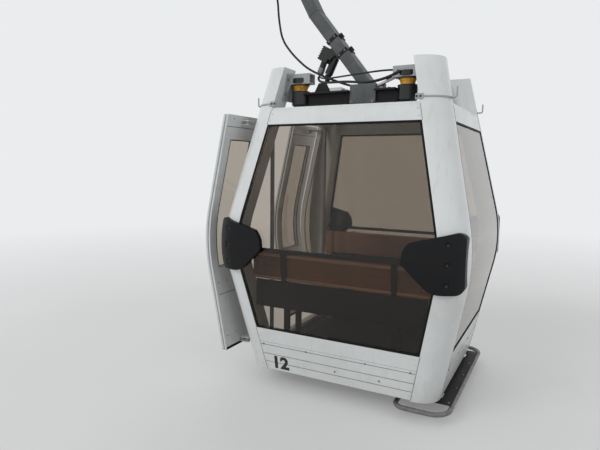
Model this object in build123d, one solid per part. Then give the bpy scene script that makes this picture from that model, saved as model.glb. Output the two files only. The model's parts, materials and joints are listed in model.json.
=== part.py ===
from build123d import *
import os
from functools import lru_cache
from math import atan, cos, hypot, radians, sin, sqrt, tan

# Cable car cabin of a detachable gondola lift, in millimetres.
# X runs along the rope, with the numbered end at +X. The doors are at -Y. Z is up.
# Pieces are drawn with Z counted from the cabin's bottom edge, and are stored with
# the origin on the rope's axis, at the middle of the grip's jaws.

# Driving dimensions: the leaning body
rope_height = 4200          # rope axis above the cabin's bottom edge
waist_height = 909          # widest level of the body
half_length = 800           # rope axis direction, centre to end face at the waist
half_width = 860            # centre to side face at the waist
end_lean_up = 0.202         # how much the end faces lean in per unit of height
end_lean_low = 0.182
side_lean_up = 0.2206
side_lean_low = 0.204
bend_height = 230           # half the height of the round stretch at the waist
face_margin = 200           # how far the leaning faces are drawn past the posts' ends
seat_gap = 0.3              # play between pieces that seat on each other

# Corner posts
post_width = 157
post_corner = 138           # radius of the post's outer corner
post_top = 2093
post_foot = -12             # the posts stand a little lower than the panels
post_foot_round = 7

# Walls and windows
beam_bottom = 1709
beam_top = 1806
beam_depth = 62
panel_top = 308
panel_depth = 30
panel_bottom = 0
panel_groove_heights = (187, 119, 59)
panel_groove_width = 4
panel_groove_depth = 3
seal_width = 13
seal_depth = 24
seal_proud = 1
glass_thickness = 8
glass_inset = 5
floor_bottom = 28
floor_thickness = 46
roof_inset = 4
roof_thickness = 14
roof_rib_height = 8
roof_rib_width = 60
roof_rib_spacing = 208
roof_rib_count = 5
roof_rib_length = 900

# Door opening and leaves
opening_margin = 346        # clear opening's edge from the end face at the waist
jamb_width = 22
jamb_play = 10              # closed leaf's edge to the jamb
leaf_bottom = 100
leaf_head = 21              # leaf's top below the top beam's top
leaf_meeting = 4            # half the gap between the closed leaves
leaf_thickness = 38
leaf_stile = 74
leaf_pane_bottom = 683
leaf_pane_top = 1615
leaf_pane_thickness = 6
leaf_rib_width = 26
leaf_rib_height = 300
leaf_recess_depth = 10
leaf_recess_margin = 36
door_gap = 5.5              # running gap above and below a leaf
header_depth = 110
header_lip = 17             # how far the header's inner part hangs behind the leaf
sill_depth = 60

# Door arms: a shaft beside the opening carries two swan necked arms
shaft_side = 14             # shaft's axis from the clear opening's edge
shaft_depth = 260           # shaft's axis from the side face at the waist
shaft_radius = 15
shaft_boss_radius = 22
shaft_boss_height = 26
door_arm_reach = 185
door_swing = 112            # degrees from closed to open
door_arm_thickness = 18
door_arm_width = 26
door_arm_levels = (130, 1738)
door_knee = (-12, -115)     # swan neck's knee from the shaft, with the door open
door_knee_radius = 34
door_pin_radius = 7
door_eye_radius = 17
door_lug_thickness = 8
door_lug_play = 1.5
door_lug_root = 8           # how deep a lug is let into the leaf
pin_clearance = 0.4

# Benches and rails
bench_end = 160             # seat board's outer edge from the end face at the waist
bench_depth = 290
bench_side = 300            # board's ends from the side face at the waist
seat_height = 470
board_thickness = 26
back_bottom = 655
back_top = 848
back_inset = 150            # back board's outer face from the end face
bench_tube = 34
bench_leg_inset = 60        # leg's axis from the seat board's inner edge
bench_frame_side = 170      # frames' distance from the boards' ends
rail_radius = 13
rail_height = 872
rail_inset = 44

# Bumpers: a moulded shield round each corner at the waist
bumper_depth = 34
bumper_reach = 400
# Outline, seen from the end: inset from the side face, height over the waist, corner radius
bumper_outline = (
    (388, -24, 24), (374, 91, 60), (34, 181, 45), (34, -181, 50), (220, -187, 120))
bumper_hole_inset = 125
bumper_hole_rises = (-128, -11, 100)
bumper_hole_radius = 13
bumper_hole_depth = 14

# Roof suspension
mount_end = 360             # spring's axis from the end face at the waist
mount_side = 485            # spring's axis from the side face at the waist
cup_radius = 62
cup_lift = 3                # cup's bottom above the cross beam's
cup_height = 106
cup_wall = 9
cup_floor = 77
cup_round = 16
spring_radius = 58
spring_waist = 46
spring_height = 124
spring_neck = 16            # height of the narrow part above the cup
disc_play = 1.5
top_disc_radius = 57
top_disc_thickness = 29
gusset_thickness = 9
gusset_height = 30          # gusset's top above the top disc
gusset_reach = 86           # gusset's inner end from the spring's axis
gusset_drop = 176.6         # gusset's foot below its top
gusset_spacing = 74
gusset_flange = 34
beam_clearance = 26         # cross beams' bottom above the top beams
cross_beam_width = 120
cross_beam_height = 94
beam_flange = 12
beam_web = 16
fin_foot = 120
fin_head = 52
fin_height = 64
fin_thickness = 14
fin_inset = 164             # fin's middle from the spring's axis
box_end = 340               # box beam's end from the end face at the waist
box_y = 87                  # the box beam stands off centre, under the arm's foot
box_width = 176
box_height = 127
box_lift = 4
end_plate_thickness = 8
strap_drop = 241            # strap's top below the post's top
strap_width = 10
strap_thickness = 5
strap_plate = (46, 34, 6)   # small plate at the strap's inner end: along the wall, height, thickness
hook_bar = 5
hook_reach = 34
hook_rise = 62
hook_bend = 14
hook_inset = 120            # hook from the end face

# Hanger arm
arm_depth = 88              # across the arm, seen from the front
arm_width = 150             # along the rope
arm_wall = 9
arm_corner = 14
arm_foot = (34, 1924)
arm_route = ((-476, 2570), (-676, 2950), (-676, 3480), (-250, 3830))
arm_head_drop = 40
arm_bends = (120, 420, 260, 200)
foot_plate_thickness = 14
foot_plate_length = 250
foot_plate_overhang = 108   # foot plate's outer edge past the box beam's side
foot_web_thickness = 12
foot_web_height = 92
foot_web_spacing = 160
pivot_y = -250
pivot_drop = 130
pivot_radius = 30
pivot_bore_gap = 0.5
head_radius = 66
head_length = 150
band_rises = (430, 563)     # strap bands along the leaning stretch, from the foot
band_thickness = 4
band_width = 24
band_lug = (34, 22)         # lug on the band's upper side: along the arm, height

# Control unit under the arm, and its cables. Places are (y, z) in the hanger's plane.
unit_top = (-357, 2314)
unit_bottom = (-409, 2222)
unit_width = 74
unit_length = 104
unit_pad = 60               # pad between the housing and the arm, along the arm
unit_rib_count = 6
unit_rib_height = 7
unit_rib_width = 8
unit_cylinder = ((-316, 2244), (-372, 2126))
unit_cylinder_radius = 31
collar_foot = (-443, 2138)
collar_radius = 24
boot_foot = (-386, 2066)
boot_shoulder = 25
boot_radius = 16
cable_diameter = 16
cable_gland_radius = 20
cable_gland_length = 30
cable_gland_height = 3060
# The main cable's corners (x, y, z) after its gland on the arm: it hangs in front of the arm's foot
cable_route = (
    (0, -812, 3060), (0, -850, 3018), (0, -866, 2952), (0, -862, 2850), (6, -820, 2731),
    (14, -805, 2586), (30, -764, 2414), (52, -650, 2282), (76, -520, 2174), (96, -400, 2112),
    (102, -285, 2065), (104, -165, 2020))
cable_block = (44, 40, 36)
cable_block_place = (104, 96)
lead_diameter = 11
# The lead's corners (x, y, z) between the boot and the box beam's side
lead_route = ((30, -366, 1985), (100, -285, 1962), (190, -180, 1945))
lead_place = (268, 1915)
lead_exit = 39              # straight stretch out of the boot
lead_entry = 60             # straight stretch into the box beam
link_diameter = 13
link_end = 40               # straight stretch at both ends of the link
arc_share = 0.45            # how much of the shorter run an arc may take

# Guard hoop below the window side
hoop_radius = 15
hoop_height = -50
hoop_end = 145              # hoop's side from the end face at the waist
hoop_side = 118             # hoop's outer run from the side face at the waist
hoop_leg = 330              # hoop's feet inside of its outer run
hoop_turn = 200             # how far the hoop's ends run in under the floor
hoop_bends = (70, 110, 110, 70)
hoop_block = (40, 50)
skirt_thickness = 6
skirt_margin = 135
skirt_depth = 167
skirt_slot = (90, 26)
skirt_slot_inset = 120      # slot's middle from the skirt's end

# Grip, drawn round the rope with the rope's axis at y 0, z 0
rope_radius = 23
jaw_length = 240
jaw_wall = 17
jaw_split = 8               # the two jaws meet this far inside of the rope's axis
jaw_split_gap = 2
grip_top = 96
grip_outer = -165
grip_slope = (-70, 60)      # slope on top: its inner end's y, its outer end's z
grip_heel = (-40, 6)        # heel below the fixed jaw: y, depth under the jaw
grip_foot = -80             # inner end of the underside
grip_length = 250
grip_bottom = -150
carrier_half_length = 250
carrier_size = 44
carrier_y = -120
carrier_z = 48
pivot_boss_length = 90
wheel_x = 230
wheel_y = -192
wheel_z = 42
wheel_radius = 76
wheel_width = 44
wheel_axle_radius = 14
wheel_collar_radius = 24
wheel_collar_thickness = 9
wheel_play = 1
wheel_rim_radius = 58
wheel_hub_radius = 30
wheel_recess = 9
roller_radius = 34
roller_width = 34
roller_axle_radius = 9
roller_collar_radius = 15
roller_collar_thickness = 6
roller_y = -262
roller_z = 132
jaw_lip = 4                 # how much the moving jaw's lip is cut back
jaw_chin = 20
jaw_cheek = (4, 22)         # cheek's corner: outside of the jaw's radius, above its lowest point
lever_end = -225
lever_top = 128
lever_reach = 56
lever_brow = (40, 112)      # heights of the lever's outer side
lever_brow_step = 6
lever_slope = -60           # where the lever's top starts to fall
lever_fall = 10
lever_lip = 2
lever_lug = (54, 22, 56)
shoe_length = 380
shoe_width = 84
shoe_thickness = 14
shoe_height = 169
shoe_nose = 46
shoe_drop = 26
shoe_y = -20
shoe_stem = (60, 30)
shoe_stem_margin = 10       # how far the stem's seat on the lever stands out
disc_x = 92
disc_y = -198
spring_seat = 62
spring_seat_thickness = 14
spring_lid_gap = 4
disc_count = 9
disc_radius = 26
disc_step = 4               # how much narrower every second disc is
pin_head_radius = 46
pin_head_thickness = 18

# Places that follow from the sizes above
jamb_edge = half_length - opening_margin
leaf_width = jamb_edge - jamb_play - leaf_meeting
leaf_top = beam_top - leaf_head
header_bottom = leaf_top - header_lip
shaft_x = jamb_edge - shaft_side
shaft_y = half_width - shaft_depth
bench_outer = half_length - bench_end
bench_inner = bench_outer - bench_depth
bench_half_width = half_width - bench_side
mount_x = half_length - mount_end
mount_y = half_width - mount_side
cross_beam_bottom = beam_top + beam_clearance
cross_beam_top = cross_beam_bottom + cross_beam_height
box_half_length = half_length - box_end
box_bottom = cross_beam_bottom + box_lift
box_top = box_bottom + box_height
cup_bottom = cross_beam_bottom + cup_lift
cup_top = cup_bottom + cup_height
spring_foot = cup_top - cup_floor
spring_top = spring_foot + spring_height
disc_foot = spring_top + gusset_thickness + 2 * seat_gap
gusset_top = disc_foot + top_disc_thickness + gusset_height
gusset_foot = gusset_top - gusset_drop

os.makedirs("parts", exist_ok=True)


def store(shape, name):
    """Writes one piece with the rope's axis as its origin."""
    placed = Pos(0, 0, -rope_height) * shape
    export_step(placed, f"parts/{name}.step")
    print(name, len(placed.solids()))


def band(low, high):
    reach = 4 * (half_length + half_width)
    return Pos(0, 0, (low + high) / 2) * Box(reach, reach, high - low)


def slice_x(low, high):
    reach = 4 * rope_height
    return Pos((low + high) / 2, 0, 0) * Box(high - low, reach, reach)


def slice_y(low, high):
    reach = 4 * rope_height
    return Pos(0, (low + high) / 2, 0) * Box(reach, high - low, reach)


def lean_line(reach, lean_up, lean_low, inset):
    """Foot, waist and head points of a leaning face that is moved inwards by inset."""
    up, low = inset * hypot(1, lean_up), inset * hypot(1, lean_low)
    rise = (low - up) / (lean_up + lean_low)
    head, foot = post_top + face_margin - waist_height, waist_height + face_margin
    return [
        (reach - low - lean_low * foot, waist_height - foot),
        (reach - up - lean_up * rise, waist_height + rise),
        (reach - up - lean_up * head, waist_height + head),
    ]


def bend_radius(lean_up, lean_low):
    return 2 * bend_height / (lean_up + lean_low)


def barrel_face(reach, lean_up, lean_low, inset):
    """Outline of the body seen along its wall, between two leaning faces."""
    points = lean_line(reach, lean_up, lean_low, inset)
    radius = bend_radius(lean_up, lean_low) - inset
    right = FilletPolyline(*points, radius=radius)
    left = FilletPolyline(*[(-h, z) for h, z in points], radius=radius)
    foot = Line((-points[0][0], points[0][1]), points[0])
    head = Line((-points[2][0], points[2][1]), points[2])
    return make_face(right.edges() + left.edges() + [foot, head])


@lru_cache(maxsize=None)
def between_ends(inset):
    face = barrel_face(half_length, end_lean_up, end_lean_low, inset)
    return extrude(Plane.XZ * face, 2 * half_width, both=True)


@lru_cache(maxsize=None)
def between_sides(inset):
    face = barrel_face(half_width, side_lean_up, side_lean_low, inset)
    return extrude(Plane.YZ * face, 2 * half_length, both=True)


def end_wall(outer, inner, edge, low, high):
    """Front wall piece between two depths, kept edge away from the side faces."""
    wall = (between_ends(outer) - between_ends(inner)) & slice_x(0, 2 * half_length)
    return wall & between_sides(edge) & band(low, high)


def side_wall(outer, inner, edge, low, high):
    """Window side wall piece between two depths, kept edge away from the end faces."""
    wall = (between_sides(outer) - between_sides(inner)) & slice_y(0, 2 * half_width)
    return wall & between_ends(edge) & band(low, high)


def door_wall(outer, inner, low, high):
    wall = between_sides(outer) - between_sides(inner)
    return wall & slice_y(-2 * half_width, 0) & band(low, high)


def beside_posts(gap):
    """The cross shaped room between the four corner posts."""
    return between_ends(post_width + gap) + between_sides(post_width + gap)


def at_rear(shape):
    return mirror(shape, about=Plane.YZ)


def four(shape):
    both = [shape, mirror(shape, about=Plane.XZ)]
    return Compound(children=both + [at_rear(one) for one in both])


def face_at(reach, lean_up, lean_low, z):
    """Half size of the body at height z, with the round stretch at the waist."""
    angle_up, angle_low = atan(lean_up), atan(lean_low)
    radius = bend_radius(lean_up, lean_low)
    tangent = radius * tan((angle_up + angle_low) / 2)
    above = z - waist_height
    if above >= tangent * cos(angle_up):
        return reach - lean_up * above
    if above <= -tangent * cos(angle_low):
        return reach + lean_low * above
    centre = reach - tangent * sin(angle_up) - radius * cos(angle_up)
    middle = tangent * cos(angle_up) - radius * sin(angle_up)
    return centre + sqrt(radius ** 2 - (above - middle) ** 2)


def half_length_at(z):
    return face_at(half_length, end_lean_up, end_lean_low, z)


def half_width_at(z):
    return face_at(half_width, side_lean_up, side_lean_low, z)


def corner_path():
    """The line of the body's outer corner, with its bend at the waist."""
    lean_up, lean_low = hypot(end_lean_up, side_lean_up), hypot(end_lean_low, side_lean_low)
    foot, head = [(half_length_at(z), half_width_at(z), z) for z in (post_foot, post_top)]
    points = (foot, (half_length, half_width, waist_height), head)
    return FilletPolyline(*points, radius=bend_radius(lean_up, lean_low))


def up_corner(section, depth):
    """Sweeps a level section, drawn depth inside both faces, up the body's corner.

    The section keeps its direction all the way, so its sides follow the walls.
    """
    place = Pos(half_length_at(post_foot) - depth, half_width_at(post_foot) - depth, post_foot)
    return Solid.sweep((place * section).face(), corner_path(), mode=Vector(0, 0, 1))


def corner_quarter(size, radius):
    wide = RectangleRounded(2 * size, 2 * size, radius)
    return wide & Pos(size, size) * Rectangle(2 * size, 2 * size)


def corner_skin(thickness, reach):
    """Shell of even thickness round the corner, seat_gap outside of the post."""
    outer = corner_quarter(reach + thickness, post_corner + thickness)
    inner = corner_quarter(reach + seat_gap, post_corner + seat_gap)
    return up_corner(outer - inner, reach)


def corner_post():
    """Closed post: its round outside follows the corner, its inner sides the walls."""
    depth = 2 * post_width
    post = up_corner(corner_quarter(depth, post_corner), depth) - beside_posts(0)
    return fillet(post.edges().group_by(Axis.Z)[0], post_foot_round)


def build_posts():
    window_side = corner_post()
    door_side = mirror(window_side, about=Plane.XZ)
    store(Compound(children=[window_side, at_rear(window_side)]), "posts_window_side")
    store(Compound(children=[door_side, at_rear(door_side)]), "posts_door_side")


def build_walls():
    edge = post_width + seat_gap
    beam = end_wall(0, beam_depth, edge, beam_bottom, beam_top)
    side_beam = side_wall(0, beam_depth, edge, beam_bottom, beam_top)
    store(Compound(children=[beam, at_rear(beam), side_beam]), "top_beams")
    low = end_wall(0, panel_depth, edge, panel_bottom, panel_top)
    side_low = side_wall(0, panel_depth, edge, panel_bottom, panel_top)
    for z in panel_groove_heights:
        low_edge, high_edge = z - panel_groove_width / 2, z + panel_groove_width / 2
        groove = (-panel_depth, panel_groove_depth, 0, low_edge, high_edge)
        low -= end_wall(*groove)
        side_low -= side_wall(*groove)
    store(Compound(children=[low, at_rear(low), side_low]), "lower_panels")

    bottom, top = panel_top + seat_gap, beam_bottom - seat_gap
    hole = (edge + seal_width, bottom + seal_width, top - seal_width)
    rings = []
    for wall in (end_wall, side_wall):
        ring = wall(seal_proud, seal_proud + seal_depth, edge, bottom, top)
        rings.append(ring - wall(-seal_depth, 2 * seal_depth, *hole))
    store(Compound(children=[rings[0], at_rear(rings[0]), rings[1]]), "window_seals")

    pane = (edge + seal_width + seat_gap, bottom + seal_width + seat_gap, top - seal_width - seat_gap)
    front = end_wall(glass_inset, glass_inset + glass_thickness, *pane)
    store(front, "window_front")
    store(at_rear(front), "window_rear")
    store(side_wall(glass_inset, glass_inset + glass_thickness, *pane), "window_right")


def build_door_surround():
    edge = post_width + seat_gap
    room = between_ends(edge)
    top, bottom = leaf_top + door_gap, leaf_bottom - door_gap
    header = door_wall(0, header_depth, top, beam_top) & room
    deep = door_wall(leaf_thickness + door_gap, header_depth, header_bottom, top) & room
    store(header + deep, "door_header")
    store(door_wall(0, sill_depth, panel_bottom, bottom) & room, "door_sill")

    jamb = door_wall(0, leaf_thickness, bottom + seat_gap, top - seat_gap) & room
    jamb &= slice_x(jamb_edge, jamb_edge + jamb_width)
    store(Compound(children=[jamb, at_rear(jamb)]), "door_jambs")
    filler = door_wall(glass_inset, glass_inset + glass_thickness, bottom + seat_gap, top - seat_gap)
    filler &= room & slice_x(jamb_edge + jamb_width + seat_gap, half_length)
    store(Compound(children=[filler, at_rear(filler)]), "door_side_lights")


def build_floor_and_roof():
    inset = panel_depth + seat_gap
    floor = between_ends(inset) & between_sides(sill_depth + seat_gap) & beside_posts(seat_gap)
    store(floor & band(floor_bottom, floor_bottom + floor_thickness), "floor_pan")
    low = beam_top + seat_gap
    roof = between_ends(roof_inset) & between_sides(roof_inset) & beside_posts(seat_gap)
    roof &= band(low, low + roof_thickness)
    for i in range(roof_rib_count):
        y = (i - (roof_rib_count - 1) / 2) * roof_rib_spacing
        rib = Pos(0, y, low + roof_thickness) * Box(roof_rib_length, roof_rib_width, 2 * roof_rib_height)
        roof += rib & band(low, low + roof_thickness + roof_rib_height)
    store(roof, "roof_panel")


def build_benches():
    seat = Pos((bench_inner + bench_outer) / 2, 0, seat_height + board_thickness / 2) * Box(
        bench_outer - bench_inner, 2 * bench_half_width, board_thickness)
    back = between_ends(back_inset) - between_ends(back_inset + board_thickness)
    back &= slice_x(0, half_length) & slice_y(-bench_half_width, bench_half_width)
    back &= band(back_bottom, back_top)
    store(Compound(children=[seat, back, at_rear(seat), at_rear(back)]), "bench_boards")

    # Each frame: two legs and a bar under the seat, and an upright behind the back board
    floor_top = floor_bottom + floor_thickness + seat_gap
    bar_top = seat_height - seat_gap
    legs = (bench_inner + bench_leg_inset, bench_outer - bench_leg_inset)
    frames = []
    for side in (-1, 1):
        y = side * (bench_half_width - bench_frame_side)
        plate = slice_y(y - bench_tube / 2, y + bench_tube / 2)
        upright = between_ends(back_inset - bench_tube - seat_gap) - between_ends(back_inset - seat_gap)
        upright &= slice_x(0, half_length) & band(seat_height + board_thickness + seat_gap, back_top)
        frame = slice_x(legs[0], legs[1]) & band(bar_top - bench_tube, bar_top)
        for x in legs:
            frame += slice_x(x - bench_tube / 2, x + bench_tube / 2) & band(floor_top, bar_top)
        frames += [upright & plate, frame & plate]
    store(Compound(children=frames + [at_rear(one) for one in frames]), "bench_frames")


def build_rail():
    x = half_length_at(rail_height) - rail_inset
    rail = Pos(x, 0, rail_height) * Rot(90, 0, 0) * Cylinder(rail_radius, 2 * half_width)
    rail &= between_sides(post_width + seat_gap)
    store(Compound(children=[rail, at_rear(rail)]), "waist_rails")


def build_bumpers():
    shell = corner_skin(bumper_depth, bumper_reach)
    corners = [(half_width - inset, waist_height + rise) for inset, rise, _ in bumper_outline]
    rounds = [radius for _, _, radius in bumper_outline]
    outline = FilletPolyline(*corners, radius=rounds, close=True)
    shell &= extrude(Plane.YZ * make_face(outline.edges()), 2 * half_length)
    for rise in bumper_hole_rises:
        z = waist_height + rise
        x = half_length_at(z) + bumper_depth
        hole = Pos(x, half_width - bumper_hole_inset, z) * Rot(0, 90, 0)
        shell -= hole * Cylinder(bumper_hole_radius, 2 * bumper_hole_depth)
    store(four(shell), "bumpers")


def turned(profile, x, y):
    """Solid of revolution about the upright line at x, y, from a list of (radius, z)."""
    face = make_face(Polyline(*profile, close=True).edges())
    return Pos(x, y, 0) * revolve(Plane.XZ * face, Axis.Z)


def spring_mount():
    """Cup, elastomer spring and top disc, as three solids on one axis."""
    bottom_round = cup_radius - cup_round
    cup = turned([
        (0, cup_bottom), (bottom_round, cup_bottom), (cup_radius, cup_bottom + cup_round),
        (cup_radius, cup_top), (cup_radius - cup_wall, cup_top),
        (cup_radius - cup_wall, spring_foot), (0, spring_foot)], mount_x, mount_y)
    foot, top = spring_foot + seat_gap, spring_top
    neck = cup_top + spring_neck
    spring = turned([
        (0, foot), (spring_waist, foot), (spring_waist, neck),
        (spring_radius, top - disc_play), (spring_radius, top), (0, top)], mount_x, mount_y)
    disc = Pos(mount_x, mount_y, disc_foot + top_disc_thickness / 2) * Cylinder(
        top_disc_radius, top_disc_thickness)
    return cup, spring, disc


def post_gusset():
    """Welded bracket that hangs the post on its spring: two plates, a seat and a top."""
    post_depth = (post_width + seat_gap) * hypot(1, side_lean_up)
    foot_y = half_width_at(gusset_foot) - post_depth
    head_y = half_width_at(gusset_top) - post_depth
    inner_y = mount_y - gusset_reach
    seat_low = spring_top + seat_gap
    corners = [
        (foot_y, gusset_foot), (head_y, gusset_top), (inner_y, gusset_top),
        (inner_y, seat_low), (mount_y + spring_radius, seat_low)]
    plate = make_face(Polyline(*corners, close=True).edges())
    bracket = Part()
    for side in (-1, 1):
        x = mount_x + side * gusset_spacing / 2
        bracket += Pos(x, 0, 0) * extrude(Plane.YZ * plate, gusset_thickness / 2, both=True)
    wide = gusset_spacing + gusset_thickness
    seat = Pos(mount_x, 0, seat_low + gusset_thickness / 2) * Box(wide, 2 * half_width, gusset_thickness)
    bracket += seat & slice_y(inner_y, mount_y + spring_radius)
    lid = Pos(mount_x, 0, gusset_top - gusset_thickness / 2) * Box(wide, 2 * half_width, gusset_thickness)
    bracket += lid & slice_y(inner_y, head_y)
    flange = Pos(mount_x, 0, 0) * extrude(Plane.YZ * make_face(Polyline(
        (foot_y, gusset_foot), (head_y, gusset_top), (head_y - gusset_thickness, gusset_top),
        (foot_y - gusset_thickness, gusset_foot), close=True).edges()), wide / 2 + gusset_flange, both=True)
    bracket += flange
    room = Pos(mount_x, mount_y, disc_foot + top_disc_thickness / 2)
    return bracket - room * Cylinder(top_disc_radius + disc_play, top_disc_thickness + 2 * seat_gap)


def post_strap():
    """Flat strap round the post, with a bolted plate at one end and a hook at the other."""
    top = post_top - strap_drop
    strap = corner_skin(strap_thickness, post_width) & band(top - strap_width, top)
    along, tall, thick = strap_plate
    middle = top - strap_width / 2
    face_x = half_length_at(middle + tall / 2)
    plate_y = half_width_at(middle) - post_width
    skin = between_ends(-seat_gap - thick) - between_ends(-seat_gap)
    strap += Pos(face_x, plate_y, middle) * Box(4 * thick, along, tall) & skin
    x, y = half_length_at(middle) - hook_inset, half_width_at(middle)
    line = FilletPolyline(
        (x, y + strap_thickness, middle), (x, y + hook_reach, middle),
        (x, y + hook_reach, middle + hook_rise), radius=hook_bend)
    start = Plane(origin=line @ 0, z_dir=line % 0)
    return strap + Solid.sweep((start * Circle(hook_bar)).face(), line)


def frame_beam():
    """I section cross beam between two cups, with a fin on its top near each end."""
    span = 2 * (mount_y - cup_radius - seat_gap)
    low, high = cross_beam_bottom, cross_beam_top
    beam = slice_x(mount_x - cross_beam_width / 2, mount_x + cross_beam_width / 2) & band(low, high)
    for side in (-1, 1):
        x = mount_x + side * cross_beam_width / 2
        web = (cross_beam_width - beam_web) / 2
        beam -= slice_x(x - web, x + web) & band(low + beam_flange, high - beam_flange)
    beam &= slice_y(-span / 2, span / 2)
    fin = make_face(Polyline(
        (-fin_foot / 2, high), (fin_foot / 2, high), (fin_head / 2, high + fin_height),
        (-fin_head / 2, high + fin_height), close=True).edges())
    fin = Pos(mount_x, -mount_y + fin_inset, 0) * extrude(Plane.YZ * fin, fin_thickness / 2, both=True)
    gap = 2 * seat_gap
    clear = Pos(0, box_y, (box_bottom + box_top) / 2) * Box(
        4 * mount_x, box_width + gap, box_height + gap)
    return beam - clear + fin


def build_roof_suspension():
    cup, spring, disc = spring_mount()
    store(four(cup + disc), "spring_cups")
    store(four(spring), "spring_blocks")
    beam = frame_beam()
    store(Compound(children=[beam, at_rear(beam)]), "roof_cross_beams")
    box = Pos(0, box_y, (box_bottom + box_top) / 2) * Box(2 * box_half_length, box_width, box_height)
    for side in (-1, 1):
        end = Pos(side * (box_half_length + end_plate_thickness / 2), box_y, (box_bottom + box_top) / 2)
        box += end * Box(end_plate_thickness, box_width, box_height)
    store(box, "roof_box")
    store(four(post_gusset()), "post_gussets")
    store(four(post_strap()), "post_straps")


def arm_points():
    head = (pivot_y, rope_height - pivot_drop - arm_head_drop)
    return [(0, y, z) for y, z in (arm_foot,) + arm_route + (head,)]


def in_hanger(y, z):
    return Vector(0, y, z)


def arm_line():
    """Foot of the arm and the direction of its leaning lower stretch."""
    foot, knee = in_hanger(*arm_foot), in_hanger(*arm_route[0])
    return foot, (knee - foot).normalized()


def foot_plate():
    """Plate and two webs that spread the arm's foot over the box beam."""
    side = box_y - box_width / 2
    plate = Pos(0, 0, box_top + seat_gap + foot_plate_thickness / 2) * Box(
        foot_plate_length, 4 * box_width, foot_plate_thickness)
    plate &= slice_y(side - foot_plate_overhang, side + box_width)
    low = box_top + seat_gap
    web = make_face(Polyline(
        (side - seat_gap, low - foot_web_height), (side - seat_gap, low),
        (side - foot_plate_overhang, low), (side - foot_plate_overhang, low - foot_web_thickness),
        close=True).edges())
    for x in (-foot_web_spacing / 2, foot_web_spacing / 2):
        plate += Pos(x, 0, 0) * extrude(Plane.YZ * web, foot_web_thickness / 2, both=True)
    return plate


def build_arm():
    path = FilletPolyline(*arm_points(), radius=list(arm_bends))
    start = Plane(origin=path @ 0, x_dir=(1, 0, 0), z_dir=path % 0)
    tube = RectangleRounded(arm_width, arm_depth, arm_corner)
    tube -= RectangleRounded(arm_width - 2 * arm_wall, arm_depth - 2 * arm_wall, arm_corner - arm_wall)
    arm = Solid.sweep((start * tube).face(), path)
    arm &= band(box_top + seat_gap + foot_plate_thickness / 2, 2 * rope_height)
    pivot = Pos(0, pivot_y, rope_height - pivot_drop)
    arm -= pivot * Rot(90, 0, 0) * Cylinder(head_radius + seat_gap, 2 * head_length)
    arm = max(arm.solids(), key=lambda one: one.volume) + foot_plate()
    block = Pos(*cable_block_place, box_top + foot_plate_thickness + cable_block[2] / 2) * Box(*cable_block)
    gland_y = arm_route[1][0] - arm_depth / 2 - cable_gland_length / 2
    arm += block + along_y(0, gland_y, cable_gland_height, cable_gland_radius, cable_gland_length)
    store(arm, "hanger_arm")
    head = pivot * Rot(90, 0, 0) * Cylinder(head_radius, head_length)
    head -= pivot * Rot(90, 0, 0) * Cylinder(pivot_radius + pivot_bore_gap, 2 * head_length)
    store(head, "hanger_head")


def build_bands():
    """Two thin straps round the arm, each with a lug on the arm's upper side."""
    foot, lean = arm_line()
    bands = []
    inside = (arm_width + 2 * seat_gap, arm_depth + 2 * seat_gap)
    for rise in band_rises:
        place = Plane(origin=foot + lean * rise, x_dir=(1, 0, 0), z_dir=lean)
        ring = Rectangle(inside[0] + 2 * band_thickness, inside[1] + 2 * band_thickness) - Rectangle(*inside)
        strap = extrude(place * ring, band_width / 2, both=True)
        side = arm_depth / 2 + seat_gap + band_thickness + band_lug[1] / 2
        strap += place * Pos(0, side, 0) * Box(band_width, band_lug[1], band_lug[0])
        bands.append(strap)
    store(Compound(children=bands), "arm_bands")


def tapered(start, end, radius, end_radius):
    """Round bar between two places of the hanger's plane."""
    axis = end - start
    place = Plane(origin=(start + end) / 2, x_dir=(1, 0, 0), z_dir=axis.normalized())
    if radius == end_radius:
        return place * Cylinder(radius, axis.length)
    return place * Cone(radius, end_radius, axis.length)


def build_control_unit():
    """Ribbed housing on the arm's lower side, with a cylinder, a collar and a boot."""
    top, bottom = in_hanger(*unit_top), in_hanger(*unit_bottom)
    along = (bottom - top).normalized()
    middle = Plane(origin=(top + bottom) / 2, x_dir=(1, 0, 0), z_dir=along)
    unit = middle * Box(unit_length, unit_width, (bottom - top).length)
    pitch = (bottom - top).length / unit_rib_count
    for i in range(unit_rib_count):
        z = (i - (unit_rib_count - 1) / 2) * pitch
        unit += middle * Pos(0, 0, z) * Box(unit_length, unit_width + 2 * unit_rib_height, unit_rib_width)
    head, foot = (in_hanger(*place) for place in unit_cylinder)
    unit += tapered(head, foot, unit_cylinder_radius, unit_cylinder_radius)
    unit += tapered(foot, in_hanger(*boot_foot), boot_shoulder, boot_radius)
    unit += tapered(bottom, in_hanger(*collar_foot), collar_radius, collar_radius)
    start, lean = arm_line()
    away = Vector(0, -lean.Z, lean.Y)
    near = arm_depth / 2 + seat_gap
    far = ((top + bottom) / 2 - start).dot(away)
    seat = start + lean * sum(band_rises) / len(band_rises)
    pad = Plane(origin=seat + away * (near + far) / 2, x_dir=(1, 0, 0), z_dir=away)
    unit += pad * Box(unit_length, unit_pad, far - near)
    store(unit, "control_unit")


def cord(points, radii, diameter):
    path = FilletPolyline(*points, radius=radii)
    start = Plane(origin=path @ 0, z_dir=path % 0)
    return Solid.sweep((start * Circle(diameter / 2)).face(), path)


def corner_radii(points):
    """Largest even arcs that the runs on both sides of each corner leave room for."""
    radii = []
    for a, b, c in zip(points, points[1:], points[2:]):
        turn = radians((b - a).get_angle(c - b))
        shorter = min((b - a).length, (c - b).length)
        radii.append(arc_share * shorter / tan(turn / 2))
    return radii


def routed(points, diameter):
    radii = corner_radii(points)
    print("cable arcs", [round(radius) for radius in radii])
    return cord(points, radii, diameter)


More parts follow.
